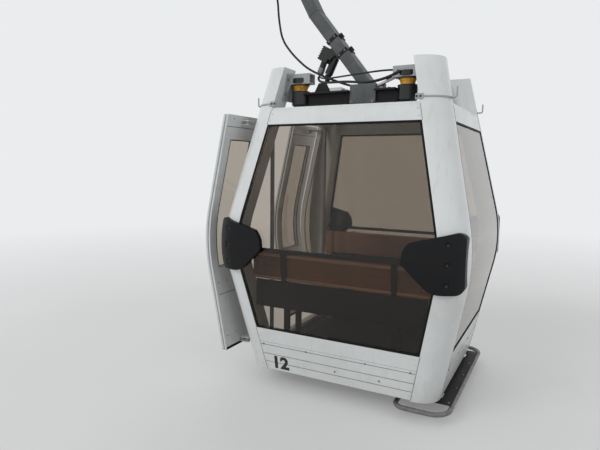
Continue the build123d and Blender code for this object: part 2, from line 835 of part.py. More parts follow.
def build_cables():
    lift = cable_diameter / 2 + seat_gap
    block_x, block_y = cable_block_place
    near = block_y - cable_block[1] / 2 - seat_gap
    plate_top = box_top + seat_gap + foot_plate_thickness
    gland_y = arm_route[1][0] - arm_depth / 2 - cable_gland_length - seat_gap
    start = Vector(0, gland_y, cable_gland_height)
    rest = [Vector(block_x, y, plate_top + lift) for y in (near - 2 * cable_block[1], near)]
    main = routed([start] + [Vector(*point) for point in cable_route] + rest, cable_diameter)

    boot = in_hanger(*boot_foot)
    down = (boot - in_hanger(*unit_cylinder[1])).normalized()
    lead_x, lead_z = lead_place
    side = box_y - box_width / 2 - seat_gap
    lead = [boot + down * seat_gap, boot + down * lead_exit] + [Vector(*point) for point in lead_route]
    lead += [Vector(lead_x, side - lead_entry, lead_z), Vector(lead_x, side, lead_z)]
    lead = routed(lead, lead_diameter)

    box_side, gusset_side = box_y + box_width / 2 + seat_gap, mount_y - gusset_reach - seat_gap
    low, high = box_top - link_diameter, spring_top + gusset_thickness / 2
    link = routed([
        Vector(mount_x, box_side, low), Vector(mount_x, box_side + link_end, low),
        Vector(mount_x, gusset_side - link_end, high), Vector(mount_x, gusset_side, high)], link_diameter)
    store(Compound(children=[main, lead, link]), "control_cables")


def build_guard():
    hoop_x = half_length - hoop_end
    hoop_y = half_width - hoop_side
    inner_y = hoop_y - hoop_leg
    route = [
        (hoop_x - hoop_turn, inner_y, hoop_height), (hoop_x, inner_y, hoop_height),
        (hoop_x, hoop_y, hoop_height), (-hoop_x, hoop_y, hoop_height),
        (-hoop_x, inner_y, hoop_height), (-hoop_x + hoop_turn, inner_y, hoop_height)]
    hoop = cord([Vector(*point) for point in route], list(hoop_bends), 2 * hoop_radius)
    for x in (-hoop_x + hoop_turn, hoop_x - hoop_turn):
        reach = floor_bottom - seat_gap - hoop_height
        hoop += Pos(x, inner_y, hoop_height + reach / 2) * Box(*hoop_block, reach)
    store(hoop, "guard_hoop")
    low = hoop_height + hoop_radius + seat_gap
    skirt_end = hoop_x - skirt_margin
    skirt = Pos(0, hoop_y - skirt_depth / 2, low + skirt_thickness / 2) * Box(
        2 * skirt_end, skirt_depth, skirt_thickness)
    for x in (skirt_slot_inset - skirt_end, skirt_end - skirt_slot_inset):
        slot = Pos(x, hoop_y - skirt_depth / 2, low) * SlotOverall(*skirt_slot)
        skirt -= extrude(slot, 4 * skirt_thickness, both=True)
    store(skirt, "guard_skirt")


def leaf_region(margin, low, high):
    """Room of the closed front leaf, with margin taken off its two upright edges."""
    return slice_x(leaf_meeting + margin, leaf_meeting + leaf_width - margin) & band(low, high)


def arm_offset():
    """From a closed leaf to the same leaf open, as the arms carry it."""
    turn = radians(door_swing)
    return door_arm_reach * (1 - cos(turn)), -door_arm_reach * sin(turn)


def door_leaf():
    body = door_wall(0, leaf_thickness, leaf_bottom, leaf_top) & leaf_region(0, leaf_bottom, leaf_top)
    cut = door_wall(-leaf_thickness, 2 * leaf_thickness, leaf_pane_bottom, leaf_pane_top)
    body -= cut & leaf_region(leaf_stile, leaf_pane_bottom, leaf_pane_top)
    low = leaf_bottom + leaf_stile
    recess = door_wall(-leaf_thickness, leaf_recess_depth, low, leaf_pane_bottom - leaf_recess_margin)
    body -= recess & leaf_region(leaf_stile, low, leaf_pane_bottom - leaf_recess_margin)
    rib = door_wall(0, leaf_thickness, low + leaf_recess_margin, low + leaf_recess_margin + leaf_rib_height)
    middle = leaf_meeting + leaf_width / 2
    body += rib & slice_x(middle - leaf_rib_width / 2, middle + leaf_rib_width / 2)
    for z in door_arm_levels:
        body += leaf_lug(z)
    return body


def leaf_lug(z):
    """Fork and pin on the leaf's inner face that carry one arm's eye."""
    x = shaft_x - door_arm_reach
    inner = half_width_at(z) - leaf_thickness
    lug = Part()
    step = door_arm_thickness / 2 + door_lug_play + door_lug_thickness / 2
    for side in (-1, 1):
        plate = Pos(x, -shaft_y, z + side * step) * Cylinder(door_eye_radius, door_lug_thickness)
        plate += Pos(x, -(shaft_y + inner + door_lug_root) / 2, z + side * step) * Box(
            2 * door_eye_radius, inner - shaft_y + door_lug_root, door_lug_thickness)
        lug += plate
    pin = Pos(x, -shaft_y, z) * Cylinder(door_pin_radius, 2 * step)
    return lug + pin


def door_arms():
    """Shaft with two swan necked arms, as they stand with the door open."""
    low, high = door_arm_levels
    foot = floor_bottom + floor_thickness + seat_gap
    top = header_bottom - seat_gap
    shaft = Pos(shaft_x, -shaft_y, (foot + top) / 2) * Cylinder(shaft_radius, top - foot)
    shift_x, shift_y = arm_offset()
    eye = (shaft_x - door_arm_reach + shift_x, -shaft_y + shift_y)
    knee = (shaft_x + door_knee[0], -shaft_y + door_knee[1])
    for z in (low, high):
        line = FilletPolyline((shaft_x, -shaft_y), knee, eye, radius=door_knee_radius)
        bar = trace(line, line_width=door_arm_width)
        arm = extrude(Pos(0, 0, z) * bar, door_arm_thickness / 2, both=True)
        arm += Pos(shaft_x, -shaft_y, z) * Cylinder(shaft_boss_radius, shaft_boss_height)
        arm += Pos(*eye, z) * Cylinder(door_eye_radius, door_arm_thickness)
        arm -= Pos(*eye, z) * Cylinder(door_pin_radius + pin_clearance, 2 * door_arm_thickness)
        shaft += arm
    return shaft


def build_doors():
    shift_x, shift_y = arm_offset()
    opened = Pos(shift_x, shift_y, 0)
    leaf = door_leaf()
    pane_room = leaf_region(leaf_stile + seat_gap, leaf_pane_bottom + seat_gap, leaf_pane_top - seat_gap)
    middle = leaf_thickness / 2
    pane = door_wall(middle - leaf_pane_thickness / 2, middle + leaf_pane_thickness / 2, 0, post_top)
    pane &= pane_room
    arms = door_arms()
    for name, turn in (("front", lambda one: one), ("rear", at_rear)):
        store(turn(arms), f"door_{name}_arms")
        store(turn(opened * leaf), f"door_{name}_leaf")
        store(turn(opened * pane), f"door_{name}_pane")


def at_rope(shape):
    return Pos(0, 0, rope_height) * shape


def along_y(x, y, z, radius, length):
    return Pos(x, y, z) * Rot(90, 0, 0) * Cylinder(radius, length)


def stub_axle(x, start, end, z, radius, collar_radius, collar):
    """Axle along Y with a collar at its far end."""
    axle = along_y(x, (start + end) / 2, z, radius, abs(end - start))
    return axle + along_y(x, end - collar / 2, z, collar_radius, collar)


def grip_body_shape():
    """Fixed jaw, carrier beam with the wheels' axles, hanger boss and spring seat."""
    jaw_radius = rope_radius + jaw_wall
    inner = -jaw_split
    block = Polyline(
        (grip_outer, grip_bottom), (grip_outer, grip_slope[1]), (grip_slope[0], grip_top),
        (inner, grip_top), (inner, -jaw_radius), (grip_heel[0], -jaw_radius - grip_heel[1]),
        (grip_foot, grip_bottom), close=True)
    body = extrude(Plane.YZ * make_face(block.edges()), grip_length / 2, both=True)
    body += Pos(0, carrier_y, carrier_z) * Box(
        2 * carrier_half_length + carrier_size, carrier_size, carrier_size)
    body += Pos(0, carrier_y, -pivot_drop) * Rot(90, 0, 0) * Cylinder(head_radius, pivot_boss_length)
    near = wheel_y + wheel_width / 2 + wheel_play
    far = wheel_y - wheel_width / 2 - wheel_play
    for x in (-wheel_x, wheel_x):
        body += stub_axle(x, carrier_y, far, wheel_z, wheel_axle_radius,
                          wheel_collar_radius, wheel_collar_thickness)
        body += along_y(x, (carrier_y + near) / 2, wheel_z, wheel_collar_radius, carrier_y - near)
    seat_depth = 2 * (grip_outer - disc_y) + spring_lid_gap
    body += Pos(0, disc_y, spring_seat - spring_seat_thickness / 2) * Box(
        grip_length, seat_depth, spring_seat_thickness)
    return body


def grip_jaw_shape():
    """Moving jaw and its lever over the springs, with lugs for the shoe and the roller."""
    jaw_radius = rope_radius + jaw_wall
    inner = -jaw_split + jaw_split_gap
    low = grip_top + spring_lid_gap
    lever = Polyline(
        (inner, -jaw_radius + jaw_lip), (jaw_chin, -jaw_radius),
        (jaw_radius + jaw_cheek[0], -jaw_radius + jaw_cheek[1]), (lever_reach, lever_brow[0]),
        (lever_reach - lever_brow_step, lever_brow[1]), (lever_slope, lever_top),
        (lever_end, lever_top - lever_fall), (lever_end, low + lever_lip), (inner, low), close=True)
    jaw = extrude(Plane.YZ * make_face(lever.edges()), jaw_length / 2, both=True)
    jaw += Pos(0, lever_end + lever_lug[1] / 2, roller_z) * Box(*lever_lug)
    seat = [side + 2 * shoe_stem_margin for side in shoe_stem]
    jaw += Pos(0, shoe_y, (grip_top + lever_top) / 2) * Box(*seat, lever_top - grip_top)
    return jaw + stub_axle(0, lever_end, roller_y - roller_width / 2 - wheel_play, roller_z,
                           roller_axle_radius, roller_collar_radius, roller_collar_thickness)


def grip_disc_packs():
    """Two stacks of disc springs between the seat and the lever."""
    discs = []
    low, high = spring_seat + seat_gap, grip_top + spring_lid_gap - seat_gap
    pitch = (high - low) / disc_count
    for x in (-disc_x, disc_x):
        for i in range(disc_count):
            z = low + (i + 0.5) * pitch
            radius = disc_radius - disc_step * (i % 2)
            discs.append(Pos(x, disc_y, z) * Cylinder(radius, pitch - seat_gap))
    return Compound(children=discs)


def grip_shoe_shape():
    """Rail shoe that opens the jaw in the station: its two noses slope down."""
    half, nose = shoe_length / 2, shoe_length / 2 + shoe_nose
    top, low = shoe_height + shoe_thickness / 2, shoe_height - shoe_thickness / 2
    side = Polyline(
        (-nose, low - shoe_drop), (-half, low), (half, low), (nose, low - shoe_drop),
        (nose, top - shoe_drop), (half, top), (-half, top), (-nose, top - shoe_drop), close=True)
    plate = Pos(0, shoe_y, 0) * extrude(Plane.XZ * make_face(side.edges()), shoe_width / 2, both=True)
    foot = lever_top + seat_gap
    return plate + Pos(0, shoe_y, (foot + shoe_height) / 2) * Box(*shoe_stem, shoe_height - foot)


def hanger_pin_shape():
    start, end = grip_outer - seat_gap, pivot_y - head_length / 2 - wheel_play
    return stub_axle(0, start, end, -pivot_drop, pivot_radius, pin_head_radius, pin_head_thickness)


def running_wheel(x):
    """Rubber tyred wheel with a recess on both faces between its rim and hub."""
    wheel = along_y(x, wheel_y, wheel_z, wheel_radius, wheel_width)
    ring = along_y(x, wheel_y, wheel_z, wheel_rim_radius, wheel_width) - along_y(
        x, wheel_y, wheel_z, wheel_hub_radius, wheel_width)
    core = along_y(x, wheel_y, wheel_z, wheel_rim_radius, wheel_width - 2 * wheel_recess)
    bore = along_y(x, wheel_y, wheel_z, wheel_axle_radius + pin_clearance, wheel_width)
    return wheel - (ring - core) - bore


def build_grip():
    bore = Rot(0, 90, 0) * Cylinder(rope_radius, 4 * jaw_length)
    store(at_rope(grip_body_shape() - bore), "grip_body")
    store(at_rope(grip_jaw_shape() - bore), "grip_jaw")
    store(at_rope(grip_disc_packs()), "grip_springs")
    store(at_rope(grip_shoe_shape()), "grip_shoe")
    store(at_rope(hanger_pin_shape()), "hanger_pin")
    roller = along_y(0, roller_y, roller_z, roller_radius, roller_width)
    roller -= along_y(0, roller_y, roller_z, roller_axle_radius + pin_clearance, roller_width)
    store(at_rope(roller), "guide_roller")
    for name, x in (("front", wheel_x), ("rear", -wheel_x)):
        store(at_rope(running_wheel(x)), f"wheel_{name}")


build_posts()
build_walls()
build_door_surround()
build_floor_and_roof()
build_benches()
build_rail()
build_bumpers()
build_roof_suspension()
build_arm()
build_bands()
build_control_unit()
build_cables()
build_guard()
build_doors()
build_grip()
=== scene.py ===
import json
import math

import bmesh
import bpy
from mathutils import Matrix, Vector
from mathutils.bvhtree import BVHTree

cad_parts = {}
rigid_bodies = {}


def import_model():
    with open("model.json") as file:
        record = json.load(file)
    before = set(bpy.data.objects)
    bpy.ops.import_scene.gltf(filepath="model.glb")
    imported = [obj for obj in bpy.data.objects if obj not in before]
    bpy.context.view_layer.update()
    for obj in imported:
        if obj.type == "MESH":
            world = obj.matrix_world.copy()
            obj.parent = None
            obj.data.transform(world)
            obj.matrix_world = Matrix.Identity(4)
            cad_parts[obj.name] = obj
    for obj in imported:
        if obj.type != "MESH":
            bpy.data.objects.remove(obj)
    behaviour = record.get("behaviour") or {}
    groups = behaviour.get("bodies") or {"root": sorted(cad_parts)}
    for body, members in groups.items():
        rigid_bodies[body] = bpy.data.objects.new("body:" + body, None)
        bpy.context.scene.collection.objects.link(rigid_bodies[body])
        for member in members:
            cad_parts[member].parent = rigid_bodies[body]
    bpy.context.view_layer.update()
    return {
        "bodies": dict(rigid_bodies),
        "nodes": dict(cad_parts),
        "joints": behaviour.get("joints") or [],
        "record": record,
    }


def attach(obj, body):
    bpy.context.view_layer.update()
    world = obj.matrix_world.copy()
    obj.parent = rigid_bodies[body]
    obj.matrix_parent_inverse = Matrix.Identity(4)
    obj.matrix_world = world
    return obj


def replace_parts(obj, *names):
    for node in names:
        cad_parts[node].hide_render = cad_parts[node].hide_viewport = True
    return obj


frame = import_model()
nodes = frame["nodes"]
print("frame loaded:", len(nodes), "nodes")

# The leaning body, in metres. Heights of the cabin are counted from its bottom edge, 4.2 m under the rope.
body = dict(foot=-4.2, waist=0.909, halfLength=0.8, halfWidth=0.86, endUp=0.202, endLow=0.182, sideUp=0.2206,
            sideLow=0.204, bend=0.23, post=0.157)
ways = (-1, 1)
tiny = 1e-6


def cabin(x, y, z):
    return Vector((x, y, z + body["foot"]))


def faceAt(reach, up, low, z):
    # half size of the body at a height, with the round stretch at the waist
    angleUp, angleLow = math.atan(up), math.atan(low)
    radius = 2 * body["bend"] / (up + low)
    tangent = radius * math.tan((angleUp + angleLow) / 2)
    above = z - body["waist"]
    if above >= tangent * math.cos(angleUp):
        return reach - up * above
    if above <= -tangent * math.cos(angleLow):
        return reach + low * above
    centre = reach - tangent * math.sin(angleUp) - radius * math.cos(angleUp)
    middle = tangent * math.cos(angleUp) - radius * math.sin(angleUp)
    return centre + math.sqrt(radius ** 2 - (above - middle) ** 2)


def endAt(z):
    return faceAt(body["halfLength"], body["endUp"], body["endLow"], z)


def sideAt(z):
    return faceAt(body["halfWidth"], body["sideUp"], body["sideLow"], z)


def flatEnd(z):
    # half the length between the posts
    return endAt(z) - body["post"]


def flatSide(z):
    # half the width between the posts
    return sideAt(z) - body["post"]


def spread(low, high, count):
    return [low + (high - low) * i / (count - 1) for i in range(count)]


def srgb(colour):
    def straight(value):
        value /= 255
        return value / 12.92 if value <= 0.04045 else ((value + 0.055) / 1.055) ** 2.4
    return (*(straight(value) for value in colour), 1)


# Nodes of shaders and of geometry
socketKinds = {float: "NodeSocketFloat", int: "NodeSocketInt", tuple: "NodeSocketVector",
               type(None): "NodeSocketMaterial"}


def addInputs(tree, inputs):
    for label, value in inputs.items():
        kind = socketKinds[type(value)]
        socket = tree.interface.new_socket(name=label, in_out="INPUT", socket_type=kind)
        if value is not None:
            socket.default_value = value


def feed(tree, sockets, values):
    # links another node's socket, or several in a list, or sets a plain value
    for key, value in values.items():
        if isinstance(value, (bpy.types.NodeSocket, list)):
            for one in value if isinstance(value, list) else [value]:
                tree.links.new(one, sockets[key])
        else:
            sockets[key].default_value = value


def add(tree, kind, inputs=None, **settings):
    # a new node, of which the outputs are given back
    node = tree.nodes.new(kind)
    for key, value in settings.items():
        setattr(node, key, value)
    feed(tree, node.inputs, inputs or {})
    return node.outputs


def maths(tree, kind, one, two):
    return add(tree, "ShaderNodeMath", {0: one, 1: two}, operation=kind)[0]


def vectors(tree, kind, one, two=(0, 0, 0)):
    return add(tree, "ShaderNodeVectorMath", {0: one, 1: two}, operation=kind)


def rangeOf(tree, value, low, high, start=0, end=1):
    return add(tree, "ShaderNodeMapRange", {
        "Value": value, "From Min": low, "From Max": high, "To Min": start, "To Max": end})[0]


def noise(tree, vector, scale, detail=4, rough=0.55):
    return add(tree, "ShaderNodeTexNoise", {
        "Vector": vector, "Scale": scale, "Detail": detail, "Roughness": rough})["Fac"]


def blend(tree, share, one, two):
    # this node's sockets 6, 7 and 2 are its colours
    return add(tree, "ShaderNodeMix", {0: share, 6: one, 7: two}, data_type="RGBA")[2]


def ownPlace(tree):
    return add(tree, "ShaderNodeTexCoord")["Object"]


def newGroup(name, inputs, outputs):
    group = bpy.data.node_groups.new(name, "ShaderNodeTree")
    addInputs(group, inputs)
    for label, kind in outputs.items():
        group.interface.new_socket(name=label, in_out="OUTPUT", socket_type=socketKinds[kind])
    given, out = group.nodes.new("NodeGroupInput"), group.nodes.new("NodeGroupOutput")
    return group, given.outputs, out.inputs


# Shader groups. A pair is the noise that starts to show and the noise that shows in full.
edgeNoise = dict(samples=6, turned=0.8, detail=5, rough=0.7, patches=(0.42, 0.62))
grimeNoise = dict(detail=6, rough=0.65, blotches=(0.46, 0.74), stretch=(9, 9, 0.55),
                  streakNoise=(3.2, 3, 0.6), streaks=(0.56, 0.72), footScale=14, footPatches=(0.3, 0.7))
grainNoise = dict(detail=5, rough=0.6, finer=6, fineDetail=2, fineRough=0.5, patches=(0.3, 0.7))
spangleNoise = dict(cloudNoise=(7, 4, 0.6), clouds=(0.35, 0.65), patchShare=0.45, cloudShare=0.55)


def makeEdgeGroup(samples, turned, detail, rough, patches):
    # mask of an edge's width, and the normal that rounds it
    group, given, out = newGroup("edgeWear", dict(Radius=0.003, Scale=30.0), dict(Mask=float, Normal=tuple))
    bevel = add(group, "ShaderNodeBevel", {"Radius": given["Radius"]}, samples=samples)[0]
    flat = add(group, "ShaderNodeNewGeometry")["Normal"]
    same = vectors(group, "DOT_PRODUCT", bevel, flat)["Value"]
    broken = rangeOf(group, noise(group, ownPlace(group), given["Scale"], detail, rough), *patches)
    mask = maths(group, "MULTIPLY", rangeOf(group, same, 1, turned), broken)
    feed(group, out, {"Mask": mask, "Normal": bevel})
    return group


def makeGrimeGroup(detail, rough, blotches, stretch, streakNoise, streaks, footScale, footPatches):
    # blotches, thin streaks that run down, and more dirt towards the foot
    inputs = dict(Scale=3.0, Foot=-4.2, Reach=0.6)
    group, given, out = newGroup("grime", inputs, dict(Mask=float, Streak=float))
    spot = ownPlace(group)
    blotch = rangeOf(group, noise(group, spot, given["Scale"], detail, rough), *blotches)
    thin = add(group, "ShaderNodeMapping", {"Vector": spot, "Scale": stretch})[0]
    streak = rangeOf(group, noise(group, thin, *streakNoise), *streaks)
    height = add(group, "ShaderNodeSeparateXYZ", {0: spot})["Z"]
    above = maths(group, "SUBTRACT", height, given["Foot"])
    low = rangeOf(group, maths(group, "DIVIDE", above, given["Reach"]), 1, 0)
    splash = rangeOf(group, noise(group, spot, footScale), *footPatches)
    both = maths(group, "MAXIMUM", maths(group, "MULTIPLY", low, splash), blotch)
    feed(group, out, {"Mask": both, "Streak": streak})
    return group


def makeGrainGroup(detail, rough, finer, fineDetail, fineRough, patches):
    # even fine grain: a value for colour and a height for bump
    inputs = dict(Scale=60.0, Stretch=(1, 1, 1))
    group, given, out = newGroup("grain", inputs, dict(Value=float, Height=float))
    long = vectors(group, "MULTIPLY", ownPlace(group), given["Stretch"])[0]
    wide = noise(group, long, given["Scale"], detail, rough)
    fine = noise(group, long, maths(group, "MULTIPLY", given["Scale"], finer), fineDetail, fineRough)
    height = maths(group, "MULTIPLY", maths(group, "ADD", wide, fine), 0.5)
    feed(group, out, {"Value": rangeOf(group, wide, *patches), "Height": height})
    return group


def makeSpangleGroup(cloudNoise, clouds, patchShare, cloudShare):
    # zinc crystals: flat patches of slightly different grey
    group, given, out = newGroup("spangle", dict(Scale=90.0), dict(Value=float, Height=float))
    spot = ownPlace(group)
    cells = add(group, "ShaderNodeTexVoronoi", {"Vector": spot, "Scale": given["Scale"]})
    patch = add(group, "ShaderNodeSeparateColor", {0: cells["Color"]})[0]
    cloud = rangeOf(group, noise(group, spot, *cloudNoise), *clouds)
    shares = maths(group, "MULTIPLY", patch, patchShare), maths(group, "MULTIPLY", cloud, cloudShare)
    feed(group, out, {"Value": maths(group, "ADD", *shares), "Height": patch})
    return group


groups = dict(edge=makeEdgeGroup(**edgeNoise), grime=makeGrimeGroup(**grimeNoise),
              grain=makeGrainGroup(**grainNoise), spangle=makeSpangleGroup(**spangleNoise))

# Finishes. Colours are red, green and blue from 0 to 255 as they look in plain light.
plainLook = dict(spread=0.1, metal=0.0, coat=0.0, coatRough=0.12, shine=0.5, grain=60, stretch=(1, 1, 1),
                 depth=0.0001, spangle=0, edge=0.003, wearScale=12, wornShare=0.3, dirtShare=0.3,
                 streakShare=0.1, dirtScale=3, foot=-4.2, reach=0.6)
looks = dict(
    cabinPaint=dict(
        colour=(222, 225, 225), second=(215, 218, 218), rough=0.3, coat=0.35, grain=2.2, depth=0.00005,
        edge=0.004, wear=(180, 180, 176), dirt=(150, 146, 138), dirtShare=0.16, streakShare=0.12,
        dirtScale=2.4),
    # a second copy of the cabin's white, its tone set to the leaves' look in shade: painted shade
    doorPaint=dict(
        colour=(212, 215, 215), second=(205, 208, 208), rough=0.34, coat=0.3, grain=2.2, depth=0.00005,
        wear=(160, 160, 156), dirt=(120, 116, 108), dirtShare=0.22, streakShare=0.2),
    sealRubber=dict(
        colour=(15, 16, 17), second=(21, 22, 23), rough=0.62, shine=0.2, grain=200, depth=0.0002, edge=0.002,
        wear=(44, 44, 44), dirt=(52, 50, 46), dirtShare=0.2),
    bumperBlack=dict(
        colour=(9, 10, 13), second=(13, 14, 17), rough=0.44, shine=0.24, grain=260, depth=0.00025, edge=0.006,
        wear=(50, 52, 54), wornShare=0.4, dirt=(44, 42, 40), dirtShare=0.2, streakShare=0.12),
    galvanised=dict(
        colour=(98, 101, 102), second=(82, 85, 87), rough=0.52, metal=0.3, spangle=95, depth=0.00006,
        edge=0.004, wear=(142, 145, 146), wornShare=0.4, dirt=(56, 54, 50), dirtShare=0.35, streakShare=0.25,
        foot=-2.4, reach=0.5),
    darkSteel=dict(
        colour=(20, 21, 22), second=(27, 27, 28), rough=0.5, shine=0.3, grain=90, depth=0.0002,
        wear=(86, 80, 72), wornShare=0.4, dirt=(54, 46, 38), streakShare=0.15),
    bracketGrey=dict(
        colour=(168, 172, 173), second=(154, 158, 159), rough=0.45, grain=70, depth=0.00015,
        wear=(132, 124, 114), wornShare=0.5, dirt=(96, 90, 80), streakShare=0.3),
    springYellow=dict(
        colour=(216, 158, 44), second=(190, 128, 30), rough=0.42, grain=40, depth=0.0003, edge=0.004,
        wear=(232, 190, 96), dirt=(52, 40, 26), dirtShare=0.55, streakShare=0.25, dirtScale=12),
    benchBoard=dict(
        colour=(158, 104, 58), second=(128, 82, 46), rough=0.32, coat=0.4, grain=9, stretch=(9, 0.7, 9),
        edge=0.004, wear=(188, 146, 112), wornShare=0.6, dirt=(58, 44, 34), dirtShare=0.25),
    # painted highlight: the pale tan of the lips along the bench boards' rounded edges
    benchEdge=dict(
        colour=(230, 184, 152), second=(206, 160, 128), rough=0.34, coat=0.3, grain=9, stretch=(9, 0.7, 9),
        edge=0.002, wear=(228, 188, 154), dirt=(96, 70, 52), dirtShare=0.25),
    # the floor's grey is made darker to paint in the shade on the cabin floor under the benches, besides its
    # dirt
    floorShadeGrey=dict(
        colour=(62, 63, 63), second=(48, 49, 49), rough=0.6, grain=120, depth=0.0004, edge=0.002,
        wear=(120, 120, 118), dirt=(60, 52, 42), dirtShare=0.6, dirtScale=5, reach=0.3),
    innerMetal=dict(
        colour=(160, 163, 164), second=(140, 143, 145), rough=0.36, metal=0.75, grain=50, edge=0.002,
        wear=(200, 200, 198), dirt=(70, 64, 56), dirtShare=0.25),
    hoopSteel=dict(
        colour=(138, 139, 138), second=(112, 112, 110), rough=0.4, metal=0.6, grain=35, depth=0.0002,
        edge=0.002, wear=(206, 206, 204), dirt=(96, 84, 70), dirtShare=0.35, dirtScale=8),
    castGrip=dict(
        colour=(96, 102, 105), second=(78, 83, 86), rough=0.58, grain=110, depth=0.0006, edge=0.005,
        wear=(158, 160, 160), wornShare=0.6, dirt=(58, 46, 36), dirtShare=0.5, streakShare=0.2, foot=-0.2,
        reach=0.3),
    gripSteel=dict(
        colour=(166, 168, 168), second=(140, 142, 143), rough=0.3, metal=0.9, grain=80, edge=0.002,
        wear=(214, 214, 212), dirt=(56, 44, 34), dirtShare=0.4, dirtScale=10, foot=-0.2),
    tyreRubber=dict(
        colour=(26, 26, 27), second=(34, 33, 32), rough=0.74, shine=0.25, grain=150, depth=0.0004,
        wear=(74, 72, 70), dirt=(88, 80, 70), dirtScale=9, foot=-0.1, reach=0.2),
    unitBlack=dict(
        colour=(16, 17, 19), second=(23, 24, 26), rough=0.32, coat=0.3, shine=0.4, grain=140, depth=0.0003,
        wear=(70, 72, 74), wornShare=0.4, dirt=(64, 60, 54), dirtShare=0.25),
    cableBlack=dict(
        colour=(14, 14, 16), second=(20, 20, 22), rough=0.42, shine=0.35, grain=120, edge=0.001,
        wear=(50, 50, 50), wornShare=0.1, dirt=(70, 66, 60), dirtShare=0.2, dirtScale=9),
    zincBolt=dict(
        colour=(158, 160, 160), second=(124, 122, 116), rough=0.4, metal=0.8, grain=160, edge=0.001,
        wear=(205, 205, 205), dirt=(84, 62, 44), dirtShare=0.5, dirtScale=30),
    darkBolt=dict(
        colour=(46, 46, 46), second=(62, 58, 54), rough=0.45, metal=0.5, grain=160, edge=0.001,
        wear=(120, 116, 110), dirt=(88, 66, 48), dirtShare=0.4, dirtScale=30),
    palePlastic=dict(
        colour=(214, 203, 204), second=(196, 184, 186), rough=0.42, edge=0.001, wear=(226, 218, 218),
        dirt=(128, 116, 112), dirtScale=14),
    numberBlack=dict(
        colour=(20, 21, 23), second=(26, 27, 29), rough=0.4, grain=90, depth=0.00002, edge=0.0004,
        wear=(120, 122, 122), wornShare=0.05, dirt=(90, 88, 84), dirtShare=0.12),
    # painted shade: the grey of the lines laid in the lower panels' folds
    foldGrey=dict(
        colour=(128, 130, 131), second=(108, 110, 111), rough=0.6, grain=120, edge=0.0005,
        wear=(150, 150, 148), dirt=(84, 78, 70), dirtShare=0.4),
    seamGrey=dict(
        colour=(70, 72, 73), second=(48, 49, 50), rough=0.7, grain=120, edge=0.0005, wear=(100, 100, 98),
        dirt=(52, 48, 42), dirtShare=0.4))


def newMaterial(name):
    material = bpy.data.materials.new(name)
    material.use_nodes = True
    tree = material.node_tree
    return material, tree, tree.nodes["Principled BSDF"]


def grouped(tree, key, **inputs):
    return add(tree, "ShaderNodeGroup", inputs, node_tree=groups[key])


def makeFinish(name, changes):
    look = {**plainLook, **changes}
    material, tree, shader = newMaterial(name)
    edge = grouped(tree, "edge", Radius=look["edge"], Scale=look["dirtScale"] * look["wearScale"])
    grime = grouped(tree, "grime", Scale=look["dirtScale"], Foot=look["foot"], Reach=look["reach"])
    if look["spangle"]:
        grain = grouped(tree, "spangle", Scale=look["spangle"])
    else:
        grain = grouped(tree, "grain", Scale=look["grain"], Stretch=look["stretch"])
    colour = blend(tree, grain["Value"], srgb(look["colour"]), srgb(look["second"]))
    for mask, share, cover in ((grime["Mask"], "dirtShare", "dirt"), (grime["Streak"], "streakShare", "dirt"),
                               (edge["Mask"], "wornShare", "wear")):
        colour = blend(tree, maths(tree, "MULTIPLY", mask, look[share]), colour, srgb(look[cover]))
    dull = maths(tree, "ADD", grain["Value"], grime["Mask"])
    rough = rangeOf(tree, dull, 0, 2, look["rough"] - look["spread"] / 2, look["rough"] + look["spread"] * 2)
    bump = add(tree, "ShaderNodeBump", {
        "Strength": 1, "Distance": look["depth"], "Height": grain["Height"], "Normal": edge["Normal"]})
    feed(tree, shader.inputs, {
        "Base Color": colour, "Roughness": rough, "Metallic": look["metal"], "Coat Weight": look["coat"],
        "Coat Roughness": look["coatRough"], "Specular IOR Level": look["shine"], "Normal": bump[0]})
    return material


# Bronze tinted safety glass. Lamps reach the inside through it.
glassLook = dict(tint=(180, 171, 160), rough=0.01, ior=1.38, dust=0.02, dustScale=1.4)


def makeGlass(name, tint, rough, ior, dust, dustScale):
    material, tree, shader = newMaterial(name)
    tint = srgb(tint)
    dull = rangeOf(tree, grouped(tree, "grime", Scale=dustScale)["Mask"], 0, 1, rough, rough + dust)
    feed(tree, shader.inputs, {"Base Color": tint, "Transmission Weight": 1, "IOR": ior, "Roughness": dull})
    clear = add(tree, "ShaderNodeBsdfTransparent", {"Color": tint})[0]
    shadow = add(tree, "ShaderNodeLightPath")["Is Shadow Ray"]
    mix = add(tree, "ShaderNodeMixShader", {0: shadow, 1: shader.outputs[0], 2: clear})
    feed(tree, tree.nodes["Material Output"].inputs, {"Surface": mix[0]})
    return material


finishes = {name: makeFinish(name, changes) for name, changes in looks.items()}
finishes["tintedGlass"] = makeGlass("tintedGlass", **glassLook)

# Which pieces of the frame have which finish
nodeFinish = dict(
    cabinPaint=["posts_window_side", "posts_door_side", "top_beams", "lower_panels", "door_header",
                "door_sill", "door_jambs", "roof_panel"],
    sealRubber=["window_seals"],
    tintedGlass=["window_front", "window_rear", "window_right", "door_side_lights", "door_front_pane",
                 "door_rear_pane"],
    floorShadeGrey=["floor_pan"],
    benchBoard=["bench_boards"],
    darkSteel=["bench_frames", "waist_rails", "roof_cross_beams", "arm_bands", "guard_skirt"],
    bumperBlack=["bumpers"],
    springYellow=["spring_blocks"],
    galvanised=["roof_box", "hanger_arm"],
    bracketGrey=["post_gussets", "post_straps"],
    castGrip=["hanger_head", "grip_body", "grip_jaw"],
    unitBlack=["control_unit", "spring_cups"],
    cableBlack=["control_cables"],
    hoopSteel=["guard_hoop"],
    innerMetal=["door_front_arms", "door_rear_arms"],
    doorPaint=["door_front_leaf", "door_rear_leaf"],
    gripSteel=["grip_springs", "grip_shoe", "hanger_pin"],
    tyreRubber=["guide_roller", "wheel_front", "wheel_rear"])
